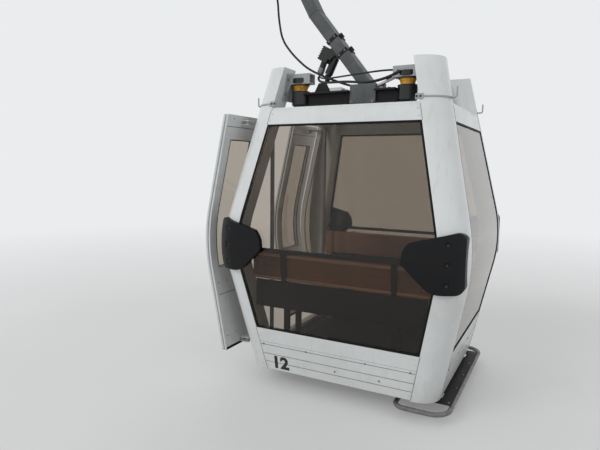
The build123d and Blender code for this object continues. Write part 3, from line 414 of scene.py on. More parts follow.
# Each of these names another finish, whose slot name slotOf gives back
sharedSlots = dict(benchEdge="benchBoard", zincBolt="innerMetal", darkBolt="darkSteel", seamGrey="sealRubber",
                   numberBlack="bumperBlack", foldGrey="cabinPaint", palePlastic="bracketGrey")


def slotOf(finish):
    # the slot of cabinPaint is cabin_paint
    owner = sharedSlots.get(finish, finish)
    return "".join(f"_{letter.lower()}" if letter.isupper() else letter for letter in owner)


for finish, names in nodeFinish.items():
    for name in names:
        mesh = nodes[name].data
        mesh.materials.clear()
        mesh.materials.append(finishes[finish])
print("finishes:", len(finishes))

# Making and placing pieces
surfaces = {}


def surfaceAt(node, start, aim):
    # where a straight line from start meets a node of the frame, and the way that face looks
    if node not in surfaces:
        mesh = nodes[node].data
        faces = [face.vertices for face in mesh.polygons]
        surfaces[node] = BVHTree.FromPolygons([v.co for v in mesh.vertices], faces)
    spot, normal, _, _ = surfaces[node].ray_cast(Vector(start), Vector(aim).normalized())
    if spot is None:
        raise ValueError(f"nothing of {node} lies on the line from {tuple(start)}")
    return spot, -normal if normal.dot(Vector(aim)) > 0 else normal


# Lines towards the body start this far from its middle
outside = 2


def onEnd(node, end, y, z):
    return surfaceAt(node, cabin(end * outside, y, z), (-end, 0, 0))


def onSide(node, side, x, z):
    return surfaceAt(node, cabin(x, side * outside, z), (0, -side, 0))


def onTop(node, x, y, start):
    return surfaceAt(node, cabin(x, y, start), (0, 0, -1))


def link(name, data):
    piece = bpy.data.objects.new(name, data)
    bpy.context.scene.collection.objects.link(piece)
    return piece


def place(name, mesh, rider, finish):
    piece = link(name, mesh)
    mesh.materials.clear()
    mesh.materials.append(finishes[finish])
    slotOf(finish)
    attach(piece, rider)
    return piece


def settled(holder):
    # the evaluated mesh of a curve, or of an object with modifiers, which then goes
    bpy.context.view_layer.update()
    mesh = bpy.data.meshes.new_from_object(holder.evaluated_get(bpy.context.evaluated_depsgraph_get()))
    bpy.data.objects.remove(holder)
    return mesh


def meshFrom(shape, name):
    mesh = bpy.data.meshes.new(name)
    shape.to_mesh(mesh)
    shape.free()
    return mesh


def smooth(mesh, angle=35):
    mesh.shade_smooth()
    mesh.set_sharp_from_angle(angle=math.radians(angle))


# Geometry Nodes trees
def newTree(name, inputs):
    tree = bpy.data.node_groups.new(name, "GeometryNodeTree")
    tree.interface.new_socket(name="Geometry", in_out="INPUT", socket_type="NodeSocketGeometry")
    addInputs(tree, {**inputs, "Material": None})
    tree.interface.new_socket(name="Geometry", in_out="OUTPUT", socket_type="NodeSocketGeometry")
    return tree, tree.nodes.new("NodeGroupInput").outputs


def endTree(tree, given, geometry):
    real = add(tree, "GeometryNodeRealizeInstances", {0: geometry})
    coated = add(tree, "GeometryNodeSetMaterial", {0: real[0], "Material": given["Material"]})
    feed(tree, tree.nodes.new("NodeGroupOutput").inputs, {0: coated[0]})
    return tree


# Sizes of the screws, bolts, rivets and nuts, in the order of headSizes
headSizes = ("Head Radius", "Head Top", "Head Height", "Sides", "Washer Radius", "Washer Height")
headStyles = dict(
    hexSmall=(0.0075, 0.0068, 0.006, 6, 0.0105, 0.0015),
    hexLarge=(0.012, 0.011, 0.010, 6, 0.017, 0.0025),
    button=(0.007, 0.0045, 0.0035, 14, 0.0072, 0.0006),
    rivet=(0.0045, 0.0026, 0.0022, 10, 0.0047, 0.0004),
    cap=(0.0105, 0.009, 0.004, 18, 0.012, 0.001),
    pin=(0.021, 0.019, 0.014, 6, 0.030, 0.003))


def headOf(style):
    return dict(zip(headSizes, headStyles[style]))


def makeFastenerTree():
    # a washer and a tapered head on each point, turned the way the point aims
    tree, given = newTree("fasteners", {**headOf("hexSmall"), "Washer Sides": 20, "Seed": 4})
    washer = add(tree, "GeometryNodeMeshCylinder", {
        "Vertices": given["Washer Sides"], "Radius": given["Washer Radius"], "Depth": given["Washer Height"]})
    head = add(tree, "GeometryNodeMeshCone", {
        "Vertices": given["Sides"], "Radius Top": given["Head Top"], "Radius Bottom": given["Head Radius"],
        "Depth": given["Head Height"]})
    middle = maths(tree, "MULTIPLY", given["Washer Height"], 0.5)
    parts = []
    for part, height in ((head, given["Washer Height"]), (washer, middle)):
        lift = add(tree, "ShaderNodeCombineXYZ", {"Z": height})
        parts.append(add(tree, "GeometryNodeTransform", {"Geometry": part[0], "Translation": lift[0]})[0])
    joined = add(tree, "GeometryNodeJoinGeometry", {0: parts})
    aim = add(tree, "GeometryNodeInputNamedAttribute", {"Name": "aim"}, data_type="FLOAT_VECTOR")
    turn = add(tree, "FunctionNodeAlignRotationToVector", {"Vector": aim[0]}, axis="Z")
    many = add(tree, "GeometryNodeInstanceOnPoints", {
        "Points": given["Geometry"], "Instance": joined[0], "Rotation": turn[0]})
    # of a random value, sockets 2 and 3 are its range and output 1 is the number
    chance = add(tree, "FunctionNodeRandomValue", {"Seed": given["Seed"]}, data_type="FLOAT")
    spin = add(tree, "ShaderNodeCombineXYZ", {"Z": maths(tree, "MULTIPLY", chance[1], math.pi)})
    spun = add(tree, "GeometryNodeRotateInstances", {0: many[0], "Rotation": spin[0]})
    return endTree(tree, given, spun[0])


def makeTubeTree():
    # an even round bar along each line of the mesh
    tree, given = newTree("tubes", {"Radius": 0.003, "Sides": 8})
    line = add(tree, "GeometryNodeMeshToCurve", {0: given["Geometry"]})
    ring = add(tree, "GeometryNodeCurvePrimitiveCircle", {
        "Radius": given["Radius"], "Resolution": given["Sides"]})
    tube = add(tree, "GeometryNodeCurveToMesh", {
        "Curve": line[0], "Profile Curve": ring[0], "Fill Caps": True})
    soft = add(tree, "GeometryNodeSetShadeSmooth", {"Geometry": tube[0]})
    return endTree(tree, given, soft[0])


def makeWeldTree():
    # overlapping beads along a joint
    tree, given = newTree("welds", {
        "Bead": 0.004, "Step": 0.004, "Smallest": 0.8, "Largest": 1.15, "Rounding": 2, "Seed": 7})
    line = add(tree, "GeometryNodeMeshToCurve", {0: given["Geometry"]})
    points = add(tree, "GeometryNodeResampleCurve", {0: line[0], "Length": given["Step"]}, mode="LENGTH")
    bead = add(tree, "GeometryNodeMeshIcoSphere", {
        "Radius": given["Bead"], "Subdivisions": given["Rounding"]})
    chance = add(tree, "FunctionNodeRandomValue", {
        2: given["Smallest"], 3: given["Largest"], "Seed": given["Seed"]}, data_type="FLOAT")
    many = add(tree, "GeometryNodeInstanceOnPoints", {
        "Points": points[0], "Instance": bead[0], "Scale": chance[1]})
    return endTree(tree, given, many[0])


def makeRowTree():
    # equal bars in a straight row
    tree, given = newTree("rows", {
        "Count": 10, "Start": (0, 0, 0), "Step": (0, 0.02, 0), "Size": (1, 0.008, 0.003)})
    points = add(tree, "GeometryNodeMeshLine", {
        "Count": given["Count"], "Start Location": given["Start"], "Offset": given["Step"]})
    bar = add(tree, "GeometryNodeMeshCube", {"Size": given["Size"]})
    many = add(tree, "GeometryNodeInstanceOnPoints", {0: points[0], "Instance": bar[0]})
    return endTree(tree, given, many[0])


trees = dict(fasteners=makeFastenerTree(), tubes=makeTubeTree(), welds=makeWeldTree(), rows=makeRowTree())


def grow(name, mesh, kind, values, rider, finish):
    holder = link(name, mesh)
    modifier = holder.modifiers.new("grow", "NODES")
    modifier.node_group = trees[kind]
    values = {**values, "Material": finishes[finish]}
    for item in trees[kind].interface.items_tree:
        if item.in_out == "INPUT" and item.name in values:
            modifier[item.identifier] = values[item.name]
    place(name, settled(holder), rider, finish)


def pointMesh(name, places):
    # places are pairs of a point and the way it aims
    mesh = bpy.data.meshes.new(name)
    mesh.from_pydata([tuple(point) for point, _ in places], [], [])
    aims = mesh.attributes.new("aim", "FLOAT_VECTOR", "POINT")
    aims.data.foreach_set("vector", [value for _, aim in places for value in Vector(aim).normalized()])
    return mesh


def lineMesh(name, lines):
    # each line is a list of points, closed where its last point is its first
    mesh = bpy.data.meshes.new(name)
    points, edges = [], []
    for line in lines:
        first = len(points)
        closed = (Vector(line[0]) - Vector(line[-1])).length < tiny
        own = line[:-1] if closed else line
        points += [tuple(point) for point in own]
        edges += [(first + i, first + i + 1) for i in range(len(own) - 1)]
        if closed:
            edges.append((first + len(own) - 1, first))
    mesh.from_pydata(points, edges, [])
    return mesh


def fasten(name, places, style, rider, finish="zincBolt"):
    grow(name, pointMesh(name, places), "fasteners", headOf(style), rider, finish)


def tubes(name, lines, radius, rider, finish, sides=8):
    grow(name, lineMesh(name, lines), "tubes", {"Radius": radius, "Sides": sides}, rider, finish)


def weld(name, lines, bead, rider, finish, overlap=0.9):
    grow(name, lineMesh(name, lines), "welds", {"Bead": bead, "Step": bead * overlap}, rider, finish)


def buildRow(name, rider, finish, count, start, step, size):
    grow(name, bpy.data.meshes.new(name), "rows", {
        "Count": count, "Start": tuple(cabin(*start)), "Step": step, "Size": size}, rider, finish)


def turned(name, parts, rider, finish, steps=40):
    # closed round solids: each part is a centre, an axis and a list of (radius, distance along the axis)
    shape = bmesh.new()
    angles = [2 * math.pi * i / steps for i in range(steps)]
    for centre, axis, profile in parts:
        upright = Vector(axis).to_track_quat("Z", "Y").to_matrix().to_4x4()
        upright.translation = Vector(centre)
        rings = []
        for radius, along in profile:
            spots = [(radius * math.cos(a), radius * math.sin(a), along) for a in angles]
            own = spots if radius > tiny else spots[:1]
            rings.append([shape.verts.new(upright @ Vector(spot)) for spot in own])
        for low, high in zip(rings, rings[1:]):
            for i, j in zip(range(steps), range(1, steps + 1)):
                corners = [low[i % len(low)], low[j % len(low)], high[j % len(high)], high[i % len(high)]]
                corners = list(dict.fromkeys(corners))
                if len(corners) > 2:
                    shape.faces.new(corners)
        # a profile that comes back to its first point makes a ring with a hole, which has no ends to close
        for ring in (rings[0], rings[-1]):
            if len(ring) > 1 and profile[0] != profile[-1]:
                shape.faces.new(ring)
    bmesh.ops.remove_doubles(shape, verts=shape.verts[:], dist=tiny)
    bmesh.ops.recalc_face_normals(shape, faces=shape.faces[:])
    mesh = meshFrom(shape, name)
    smooth(mesh)
    place(name, mesh, rider, finish)


def bars(name, boxes, rider, finish, edge=0.0015, segments=2, profile=0.5):
    # bevelled bars, each from a low corner to a high corner
    shape = bmesh.new()
    for low, high in boxes:
        low, high = Vector(low), Vector(high)
        made = bmesh.ops.create_cube(shape, size=1)
        bmesh.ops.scale(shape, vec=high - low, verts=made["verts"])
        bmesh.ops.translate(shape, vec=(low + high) / 2, verts=made["verts"])
    bmesh.ops.bevel(shape, geom=shape.edges[:], offset=edge, segments=segments, affect="EDGES",
                    profile=profile)
    mesh = meshFrom(shape, name)
    smooth(mesh)
    return place(name, mesh, rider, finish)


def hose(name, points, radius, rider, finish, rounding=4, steps=10, order=4):
    # a smooth tube along a few points
    curve = bpy.data.curves.new(name, "CURVE")
    curve.dimensions = "3D"
    curve.bevel_depth = radius
    curve.bevel_resolution = rounding
    curve.resolution_u = steps
    curve.use_fill_caps = True
    spline = curve.splines.new("NURBS")
    spline.points.add(len(points) - 1)
    for point, spot in zip(spline.points, points):
        point.co = (*cabin(*spot), 1)
    spline.order_u = order
    spline.use_endpoint_u = True
    mesh = settled(link(name, curve))
    smooth(mesh)
    place(name, mesh, rider, finish)


def ringOn(node, centre, across, along, reach=0.2, count=40):
    # a closed line round a bar, where rays towards its middle meet it
    points = []
    for i in range(count):
        angle = 2 * math.pi * i / count
        aim = Vector(across) * math.cos(angle) + Vector(along) * math.sin(angle)
        points.append(surfaceAt(node, Vector(centre) + aim * reach, -aim)[0])
    return points + [points[0]]


# The camera and the stage
view = dict(spot=(3.605, 1.298, -2.760), focal=506.86, width=600, yaw=27.813, pitch=6.734, roll=0.626,
            sensor=36, farthest=200)
skyLook = dict(sky=(234, 236, 238), ambient=0.58)
floorLook = dict(height=-4.32, size=120, sky=skyLook["sky"], colour=(206, 207, 207), darker=9,
                 patches=(0.7, 5), rough=0.75, glow=0.16, fade=(3, 10))
sunLooks = dict(keySun=dict(power=0.95, spot=(5, -3, 3.2), angle=35),
                fillSun=dict(power=0.2, spot=(2, 7, 2.2), angle=50),
                backSun=dict(power=0.45, spot=(-6, -2, 3), angle=50))


def buildCamera(spot, focal, width, yaw, pitch, roll, sensor, farthest):
    camera = link("camera", bpy.data.cameras.new("camera"))
    yaw, pitch, roll = (math.radians(angle) for angle in (yaw, pitch, roll))
    ahead = Vector((-math.cos(yaw) * math.cos(pitch), -math.sin(yaw) * math.cos(pitch), -math.sin(pitch)))
    right = ahead.cross(Vector((0, 0, 1))).normalized()
    up = right.cross(ahead)
    side = right * math.cos(roll) + up * math.sin(roll)
    top = up * math.cos(roll) - right * math.sin(roll)
    turn = Matrix((side, top, -ahead)).transposed().to_4x4()
    turn.translation = Vector(spot)
    camera.matrix_world = turn
    camera.data.sensor_width = sensor
    camera.data.lens = focal / width * sensor
    camera.data.clip_end = farthest
    bpy.context.scene.camera = camera


def seenRays(tree):
    # 1 for what the camera, a mirror or glass shows, 0 for what only lights
    path = add(tree, "ShaderNodeLightPath")
    direct = maths(tree, "MAXIMUM", path["Is Camera Ray"], path["Is Glossy Ray"])
    return maths(tree, "MAXIMUM", direct, path["Is Transmission Ray"])


def makeStageFloor(sky, colour, darker, patches, rough, glow, fade):
    material, tree, shader = newMaterial("stageFloor")
    spot = ownPlace(tree)
    dark = [value - darker for value in colour]
    tone = blend(tree, noise(tree, spot, *patches), srgb(colour), srgb(dark))
    feed(tree, shader.inputs, {"Base Color": tone, "Roughness": rough})
    # further out the floor takes the sky's tone, so that no horizon shows
    flat = vectors(tree, "MULTIPLY", spot, (1, 1, 0))[0]
    away = vectors(tree, "LENGTH", flat)["Value"]
    pale = add(tree, "ShaderNodeEmission", {"Color": srgb(sky), "Strength": 1})[0]
    shine = add(tree, "ShaderNodeEmission", {"Strength": maths(tree, "MULTIPLY", seenRays(tree), glow)})[0]
    near = add(tree, "ShaderNodeAddShader", {0: shader.outputs[0], 1: shine})[0]
    both = add(tree, "ShaderNodeMixShader", {0: rangeOf(tree, away, *fade), 1: near, 2: pale})[0]
    feed(tree, tree.nodes["Material Output"].inputs, {"Surface": both})
    return material


def buildFloor(height, size, **look):
    corners = [(x * size / 2, y * size / 2, height) for x, y in ((-1, -1), (1, -1), (1, 1), (-1, 1))]
    mesh = bpy.data.meshes.new("floor")
    mesh.from_pydata(corners, [], [(0, 1, 2, 3)])
    mesh.materials.append(makeStageFloor(**look))
    link("floor", mesh)


def buildSky(sky, ambient):
    world = bpy.data.worlds.new("studio")
    bpy.context.scene.world = world
    world.use_nodes = True
    tree = world.node_tree
    seen = add(tree, "ShaderNodeBackground", {"Color": srgb(sky), "Strength": 1})[0]
    soft = add(tree, "ShaderNodeBackground", {"Color": (1, 1, 1, 1), "Strength": ambient})[0]
    both = add(tree, "ShaderNodeMixShader", {0: seenRays(tree), 1: soft, 2: seen})[0]
    feed(tree, tree.nodes["World Output"].inputs, {"Surface": both})


def buildSun(name, power, spot, angle):
    lamp = bpy.data.lights.new(name, "SUN")
    lamp.energy = power
    lamp.angle = math.radians(angle)
    holder = link(name, lamp)
    # the wide sun would show as a disc in the glass
    holder.visible_glossy = False
    holder.visible_transmission = False
    holder.location = spot
    holder.rotation_euler = (-Vector(spot)).to_track_quat("-Z", "Y").to_euler()


buildCamera(**view)
buildFloor(**floorLook)
buildSky(**skyLook)
for sunName, sunLook in sunLooks.items():
    buildSun(sunName, **sunLook)
bpy.context.scene.view_settings.view_transform = "Standard"
print("camera and stage")

# Screws on the lower panels, and the number at the front
panelLook = dict(high=0.189, highPlaces=(-0.529, -0.196, 0.226, 0.52), low=0.086, lowPlaces=(0.01, 0.316),
                 sidePlaces=(-0.5, -0.17, 0.17, 0.5))


def buildPanelScrews(high, highPlaces, low, lowPlaces, sidePlaces):
    places = []
    for end in (1, -1):
        places += [onEnd("lower_panels", end, y * end, high) for y in highPlaces]
        places += [onEnd("lower_panels", end, y * end, low) for y in lowPlaces]
    places += [onSide("lower_panels", 1, x, high) for x in sidePlaces]
    fasten("panelScrews", places, "button", "cabin")


numberLook = dict(text="12", left=-0.452, right=-0.338, low=0.016, high=0.112, size=0.14, bold=0.0062,
                  thick=0.0005, proud=0.0004)


def buildNumber(text, left, right, low, high, size, bold, thick, proud):
    curve = bpy.data.curves.new("number", "FONT")
    curve.body = text
    curve.size = size
    curve.offset = bold
    curve.extrude = thick / 2
    mesh = settled(link("frontNumber", curve))
    wide, tall = [[v.co[axis] for v in mesh.vertices] for axis in (0, 1)]
    for v in mesh.vertices:
        y = left + (v.co.x - min(wide)) / (max(wide) - min(wide)) * (right - left)
        z = low + (v.co.y - min(tall)) / (max(tall) - min(tall)) * (high - low)
        v.co = cabin(endAt(z) + proud + v.co.z, y, z)
    place("frontNumber", mesh, "cabin", "numberBlack")


buildPanelScrews(**panelLook)
buildNumber(**numberLook)
print("panels")

# Dark joint lines where panels and beams meet the posts, and grey lines in the folds of the lower panels,
# painted shade of those creases
jointLook = dict(radius=0.0014, sunk=0.0004, panelTop=0.308, beamBottom=1.709, beamTop=1.806, panelSteps=4,
                 beamSteps=3, sides=6)
foldShadeLook = dict(radius=0.0012, sunk=0.0008, heights=(0.209, 0.187, 0.119, 0.059), sides=6)


def buildJoints(radius, sunk, panelTop, beamBottom, beamTop, panelSteps, beamSteps, sides):
    lines = []
    for run in (spread(0, panelTop, panelSteps), spread(beamBottom, beamTop, beamSteps)):
        for way in ways:
            lines += [[cabin(end * (endAt(z) - sunk), way * flatSide(z), z) for z in run] for end in ways]
            lines.append([cabin(way * flatEnd(z), sideAt(z) - sunk, z) for z in run])
    tubes("jointLines", lines, radius, "cabin", "seamGrey", sides)


# grey tubes sunk in each fold: painted shade of the crease
def buildFoldShades(radius, sunk, heights, sides):
    lines = []
    for z in heights:
        lines += [[cabin(end * (endAt(z) - sunk), side * flatSide(z), z) for side in ways] for end in ways]
        lines.append([cabin(end * flatEnd(z), sideAt(z) - sunk, z) for end in ways])
    tubes("panelFoldShades", lines, radius, "cabin", "foldGrey", sides)


buildJoints(**jointLook)
buildFoldShades(**foldShadeLook)

# Small rivets beside each joint of a post
cornerLook = dict(inset=0.017, heights=(("top_beams", 1.735), ("top_beams", 1.78), ("lower_panels", 0.03),
                                        ("lower_panels", 0.25)))


def buildCornerRivets(inset, heights):
    places = []
    for node, z in heights:
        for way in ways:
            places += [onEnd(node, end, way * (flatSide(z) - inset), z) for end in ways]
            places.append(onSide(node, 1, way * (flatEnd(z) - inset), z))
    fasten("cornerRivets", places, "rivet", "cabin", "cabinPaint")


# Roof: rivets round the panel, fixings of the box beam, of its foot and of the cross beams
springPlace = (0.44, 0.375)
rivetLook = dict(side=0.63, end=0.588, sideReach=0.42, endReach=0.47, sideCount=9, endCount=10, start=1.9)
fixingLook = dict(boxEnds=((0.010, 1.853), (0.157, 1.853)), boltStart=2.05,
                  footBolts=((0.105, 0.03), (0.105, 0.145), (0.105, -0.08)),
                  beamBolts=((0.036, 0.215), (0.036, -0.045)), flangeBolts=((0.06, 1.925), (0.06, 2.02)),
                  flangeStart=0.2)


def buildRoofRivets(side, end, sideReach, endReach, sideCount, endCount, start):
    rivets = []
    for way in ways:
        rivets += [onTop("roof_panel", x, way * side, start)
                   for x in spread(-sideReach, sideReach, sideCount)]
        rivets += [onTop("roof_panel", way * end, y, start) for y in spread(-endReach, endReach, endCount)]
    fasten("roofRivets", rivets, "rivet", "cabin")


def buildRoofFixings(boxEnds, footBolts, beamBolts, boltStart, flangeBolts, flangeStart):
    small, large = [], []
    for end in ways:
        mount = end * springPlace[0]
        small += [onEnd("roof_box", end, y, z) for y, z in boxEnds]
        large += [onTop("hanger_arm", end * x, y, boltStart) for x, y in footBolts]
        large += [onTop("roof_cross_beams", mount + way * x, y, boltStart)
                  for x, y in beamBolts for way in ways]
        for side in ways:
            starts = [cabin(mount + way * x, side * flangeStart, z) for x, z in flangeBolts for way in ways]
            small += [surfaceAt("post_gussets", start, (0, side, 0)) for start in starts]
    fasten("roofBolts", small, "hexSmall", "cabin")
    fasten("mountBolts", large, "hexLarge", "cabin")


# Spring mounts: a dark lid on each block, a bead round each cup and a nut on each disc
springLook = dict(lidRadius=0.0595, lidWall=0.006, lid=(1.977, 1.9875), lidFoot=0.002, lidEdge=0.001,
                  bead=0.0022, beadHeight=1.9375, cupRadius=0.062, beadSteps=40, disc=2.027)


def buildSprings(lidRadius, lidWall, lid, lidFoot, lidEdge, bead, beadHeight, cupRadius, beadSteps, disc):
    lids, beads, nuts = [], [], []
    inner, (low, high) = lidRadius - lidWall, lid
    section = [(inner, low), (lidRadius - lidEdge, low), (lidRadius, low + lidFoot),
               (lidRadius, high - lidEdge), (lidRadius - lidEdge, high), (inner, high), (inner, low)]
    for x, y in [(end * springPlace[0], side * springPlace[1]) for end in (1, -1) for side in (1, -1)]:
        lids.append((cabin(x, y, 0), (0, 0, 1), section))
        ring = [cabin(x + cupRadius * math.cos(a), y + cupRadius * math.sin(a), beadHeight)
                for a in spread(0, 2 * math.pi, beadSteps + 1)]
        beads.append(ring[:-1] + [ring[0]])
        nuts.append((cabin(x, y, disc), (0, 0, 1)))
    turned("springLids", lids, "cabin", "unitBlack")
    tubes("cupBeads", beads, bead, "cabin", "unitBlack")
    fasten("springNuts", nuts, "hexLarge", "cabin")


# Straps round the post heads: two bolts on each bracket plate
strapLook = dict(height=1.8475, insets=(0.014, -0.008))


def buildStrapBolts(height, insets):
    places = [onEnd("post_straps", end, side * (flatSide(height) - inset), height)
              for end in ways for side in ways for inset in insets]
    fasten("strapBolts", places, "button", "cabin", "darkBolt")


buildCornerRivets(**cornerLook)
buildRoofRivets(**rivetLook)
buildRoofFixings(**fixingLook)
buildSprings(**springLook)
buildStrapBolts(**strapLook)
print("roof")

# Bumpers: trimmed to a round tip towards the window, with a cap screw at the bottom of each hole
tipLook = dict(start=0.70, middle=0.90, length=0.228, halfTall=0.1766, steps=48, reach=1)
bumperLook = dict(across=0.735, heights=(0.781, 0.898, 1.009))


def tipOutline(side, start, middle, length, halfTall, steps, reach):
    # half an ellipse towards the window, then straight past the corner, as points across and up
    angles = spread(math.pi / 2, 3 * math.pi / 2, steps + 1)
    points = [(start + length * math.cos(a), middle + halfTall * math.sin(a)) for a in angles]
    points += [(reach, middle + way * halfTall) for way in ways]
    return [(side * y, z) for y, z in points]


def tipBlock(look):
    # a bar along the cabin for each side, with the tip's outline
    shape = bmesh.new()
    for side in ways:
        outline = tipOutline(side, **look)
        near, far = [[shape.verts.new(cabin(end * look["reach"], y, z)) for y, z in outline] for end in ways]
        for i in range(len(outline)):
            shape.faces.new((near[i - 1], near[i], far[i], far[i - 1]))
        shape.faces.new(near)
        shape.faces.new(far)
    bmesh.ops.recalc_face_normals(shape, faces=shape.faces[:])
    return link("tipShape", meshFrom(shape, "tipShape"))


def buildBumpers(mergeWithin=1e-5):
    shape = bmesh.new()
    shape.from_mesh(nodes["bumpers"].data)
    bmesh.ops.remove_doubles(shape, verts=shape.verts[:], dist=mergeWithin)
    holder = link("cornerBumpers", meshFrom(shape, "cornerBumpers"))
    cutter = tipBlock(tipLook)
    trim = holder.modifiers.new("trim", "BOOLEAN")
    trim.operation = "INTERSECT"
    trim.object = cutter
    trim.solver = "EXACT"
    trimmed = settled(holder)
    bpy.data.objects.remove(cutter)
    smooth(trimmed)
    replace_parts(place("cornerBumpers", trimmed, "cabin", "bumperBlack"), "bumpers")


def buildBumperScrews(across, heights):
    places = [onEnd("bumpers", end, side * across, z) for end in ways for side in ways for z in heights]
    fasten("bumperScrews", places, "cap", "cabin", "darkBolt")


buildBumpers()
buildBumperScrews(**bumperLook)
print("bumpers")

# Benches, drawn for the front one. A board or sheet is two places along the cabin and two heights.
boardLook = dict(length=0.56, reach=0.645, seat=(0.35, 0.64, 0.470, 0.496),
                 back=(0.575, 0.627, 0.655, 0.848), rounding=0.009)
# The lips' pale tan paints a highlight on the back boards' rounded edges.
benchTrim = dict(lip=0.011, lipSides=16, lipPlace=0.624, lipHeights=(0.660, 0.818),
                 # The dark fascia sheet paints in the shade under the seats.
                 lipReach=boardLook["reach"], fascia=(0.6405, 0.6455, 0.456, 0.650), fasciaReach=0.605)
benchFixings = dict(frame=0.39, seatTop=boardLook["seat"][3], seatScrews=(0.42, 0.57),
                    backFace=boardLook["back"][0], backScrews=(0.70, 0.80), railHeight=0.872, railInset=0.044,
                    railEnd=0.674, flange=0.026, flangeRun=(-0.006, 0.002), flangeEdge=0.002, flangeSteps=28)


def benchBar(end, section, y0, y1):
    x0, x1, z0, z1 = section
    x0, x1 = sorted((end * x0, end * x1))
    return cabin(x0, y0, z0), cabin(x1, y1, z1)


def buildBoards(length, reach, seat, back, rounding):
    boards = [benchBar(end, board, -length, length) for end in ways for board in (seat, back)]
    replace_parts(bars("benchBoards", boards, "cabin", "benchBoard", rounding), "bench_boards")
    # the back boards carried on to the posts
    ends = [benchBar(end, back, *run) for end in ways for run in ((length, reach), (-reach, -length))]
    bars("benchEnds", ends, "cabin", "benchBoard", rounding)


def buildBenchTrim(lip, lipSides, lipPlace, lipHeights, lipReach, fascia, fasciaReach):
    lips = [[cabin(end * lipPlace, side * lipReach, z) for side in ways] for end in ways for z in lipHeights]
    tubes("benchLipHighlights", lips, lip, "cabin", "benchEdge", lipSides)
    # a dark sheet below each seat's edge, which paints in the shade under the benches
    sheets = [benchBar(end, fascia, -fasciaReach, fasciaReach) for end in ways]
    bars("benchShadeFascia", sheets, "cabin", "darkSteel")


def buildBenchFixings(frame, seatTop, seatScrews, backFace, backScrews, railHeight, railInset, railEnd,
                      flange, flangeRun, flangeEdge, flangeSteps):
    screws, flanges = [], []
    low, high = flangeRun
    section = [(0, low), (flange - flangeEdge, low), (flange, low + flangeEdge), (flange, high), (0, high)]
    for end in ways:
        for side in ways:
            screws += [(cabin(end * x, side * frame, seatTop), (0, 0, 1)) for x in seatScrews]
            screws += [(cabin(end * backFace, side * frame, z), (-end, 0, 0)) for z in backScrews]
            centre = cabin(end * (endAt(railHeight) - railInset), side * railEnd, railHeight)
            flanges.append((centre, (0, side, 0), section))
    fasten("benchScrews", screws, "button", "cabin")
    turned("railFlanges", flanges, "cabin", "darkSteel", flangeSteps)


matLook = dict(count=44, start=(-0.56, 0, 0.0746), step=(0.026, 0, 0), size=(0.010, 1.04, 0.0016))

buildBoards(**boardLook)
buildBenchTrim(**benchTrim)
buildBenchFixings(**benchFixings)
buildRow("floorMat", "cabin", "sealRubber", **matLook)
print("inside")

# Door leaves, drawn for the front one as it stands open. The rear one is its mirror.
leafShift = -0.1715
leafSize = dict(thick=0.038, near=0.2583, far=0.6983)
sealLook = dict(foot=0.100, top=1.785, stile=0.074, paneLow=0.683, paneHigh=1.615, gasket=0.0032, tuck=0.0015,
                nearSeal=0.0034, farSeal=0.0044, inset=0.004)
stripLook = dict(low=0.0957, high=0.114, inset=0.002, proud=0.001)
ledgeLook = dict(ledges=((1.703, 0.006), (0.492, 0.02)), radius=0.0022)
rodLook = dict(radius=0.0045, x=0.342, low=0.195, high=0.436, steps=8, off=0.009, clips=(0.212, 0.315, 0.419),
               clipLow=(0.009, 0.001, 0.007), clipHigh=(0.009, 0.015, 0.007))
leafScrews = dict(inner=((0.56, 0.577), (0.547, 0.192), (0.30, 0.577), (0.30, 0.192), (0.66, 0.577),
                         (0.66, 0.192), (0.33, 1.758), (0.62, 1.758)),
                  outer=((0.30, 0.60), (0.66, 0.60), (0.30, 0.17), (0.66, 0.17), (0.30, 1.70), (0.66, 1.70)),
                  away=0.5)


def leafPoint(side, x, z, depth):
    # depth counts from the leaf's outer face towards the cabin
    return cabin(side * x, -sideAt(z) + leafShift + depth, z)


def leafRise(side, x, low, high, depth, count=26):
    return [leafPoint(side, x, z, depth) for z in spread(low, high, count)]


def buildSeals(word, side, thick, near, far, foot, top, stile, paneLow, paneHigh, gasket, tuck, nearSeal,
               farSeal, inset):
    rider = f"door_{word}_leaf"
    rings = []
    for depth in (thick, gasket):
        run = (paneLow + tuck, paneHigh - tuck, depth)
        up = leafRise(side, near + stile + tuck, *run)
        rings.append(up + leafRise(side, far - stile - tuck, *run)[::-1] + [up[0]])
    tubes(f"paneGasket_{word}", rings, gasket, rider, "sealRubber")
    run = (foot + inset, top - inset, thick / 2)
    tubes(f"meetingSeal_{word}", [leafRise(side, near, *run)], nearSeal, rider, "sealRubber")
    tubes(f"jambSeal_{word}", [leafRise(side, far, *run)], farSeal, rider, "bracketGrey")


def buildFootStrip(word, side, thick, near, far, low, high, inset, proud):
    outer = leafPoint(side, near + inset, high, -proud)
    inner = leafPoint(side, far - inset, low, thick + proud)
    (x0, x1), (y0, y1) = (sorted((outer[i], inner[i])) for i in (0, 1))
    box = ((x0, y0, low + body["foot"]), (x1, y1, high + body["foot"]))
    bars(f"footStrip_{word}", [box], f"door_{word}_leaf", "sealRubber")


def buildLedges(word, side, thick, near, far, ledges, radius):
    lines = [[leafPoint(side, x, z, thick) for x in (near + inset, far - inset)] for z, inset in ledges]
    tubes(f"leafLedges_{word}", lines, radius, f"door_{word}_leaf", "seamGrey")


def buildLockRod(word, side, thick, radius, x, low, high, steps, off, clips, clipLow, clipHigh):
    rod = leafRise(side, x, low, high, thick + off, steps)
    tubes(f"lockRod_{word}", [rod], radius, f"door_{word}_leaf", "doorPaint")
    spots = [leafPoint(side, x, z, thick) for z in clips]
    boxes = [(spot - Vector(clipLow), spot + Vector(clipHigh)) for spot in spots]
    bars(f"rodClips_{word}", boxes, f"door_{word}_leaf", "bracketGrey")


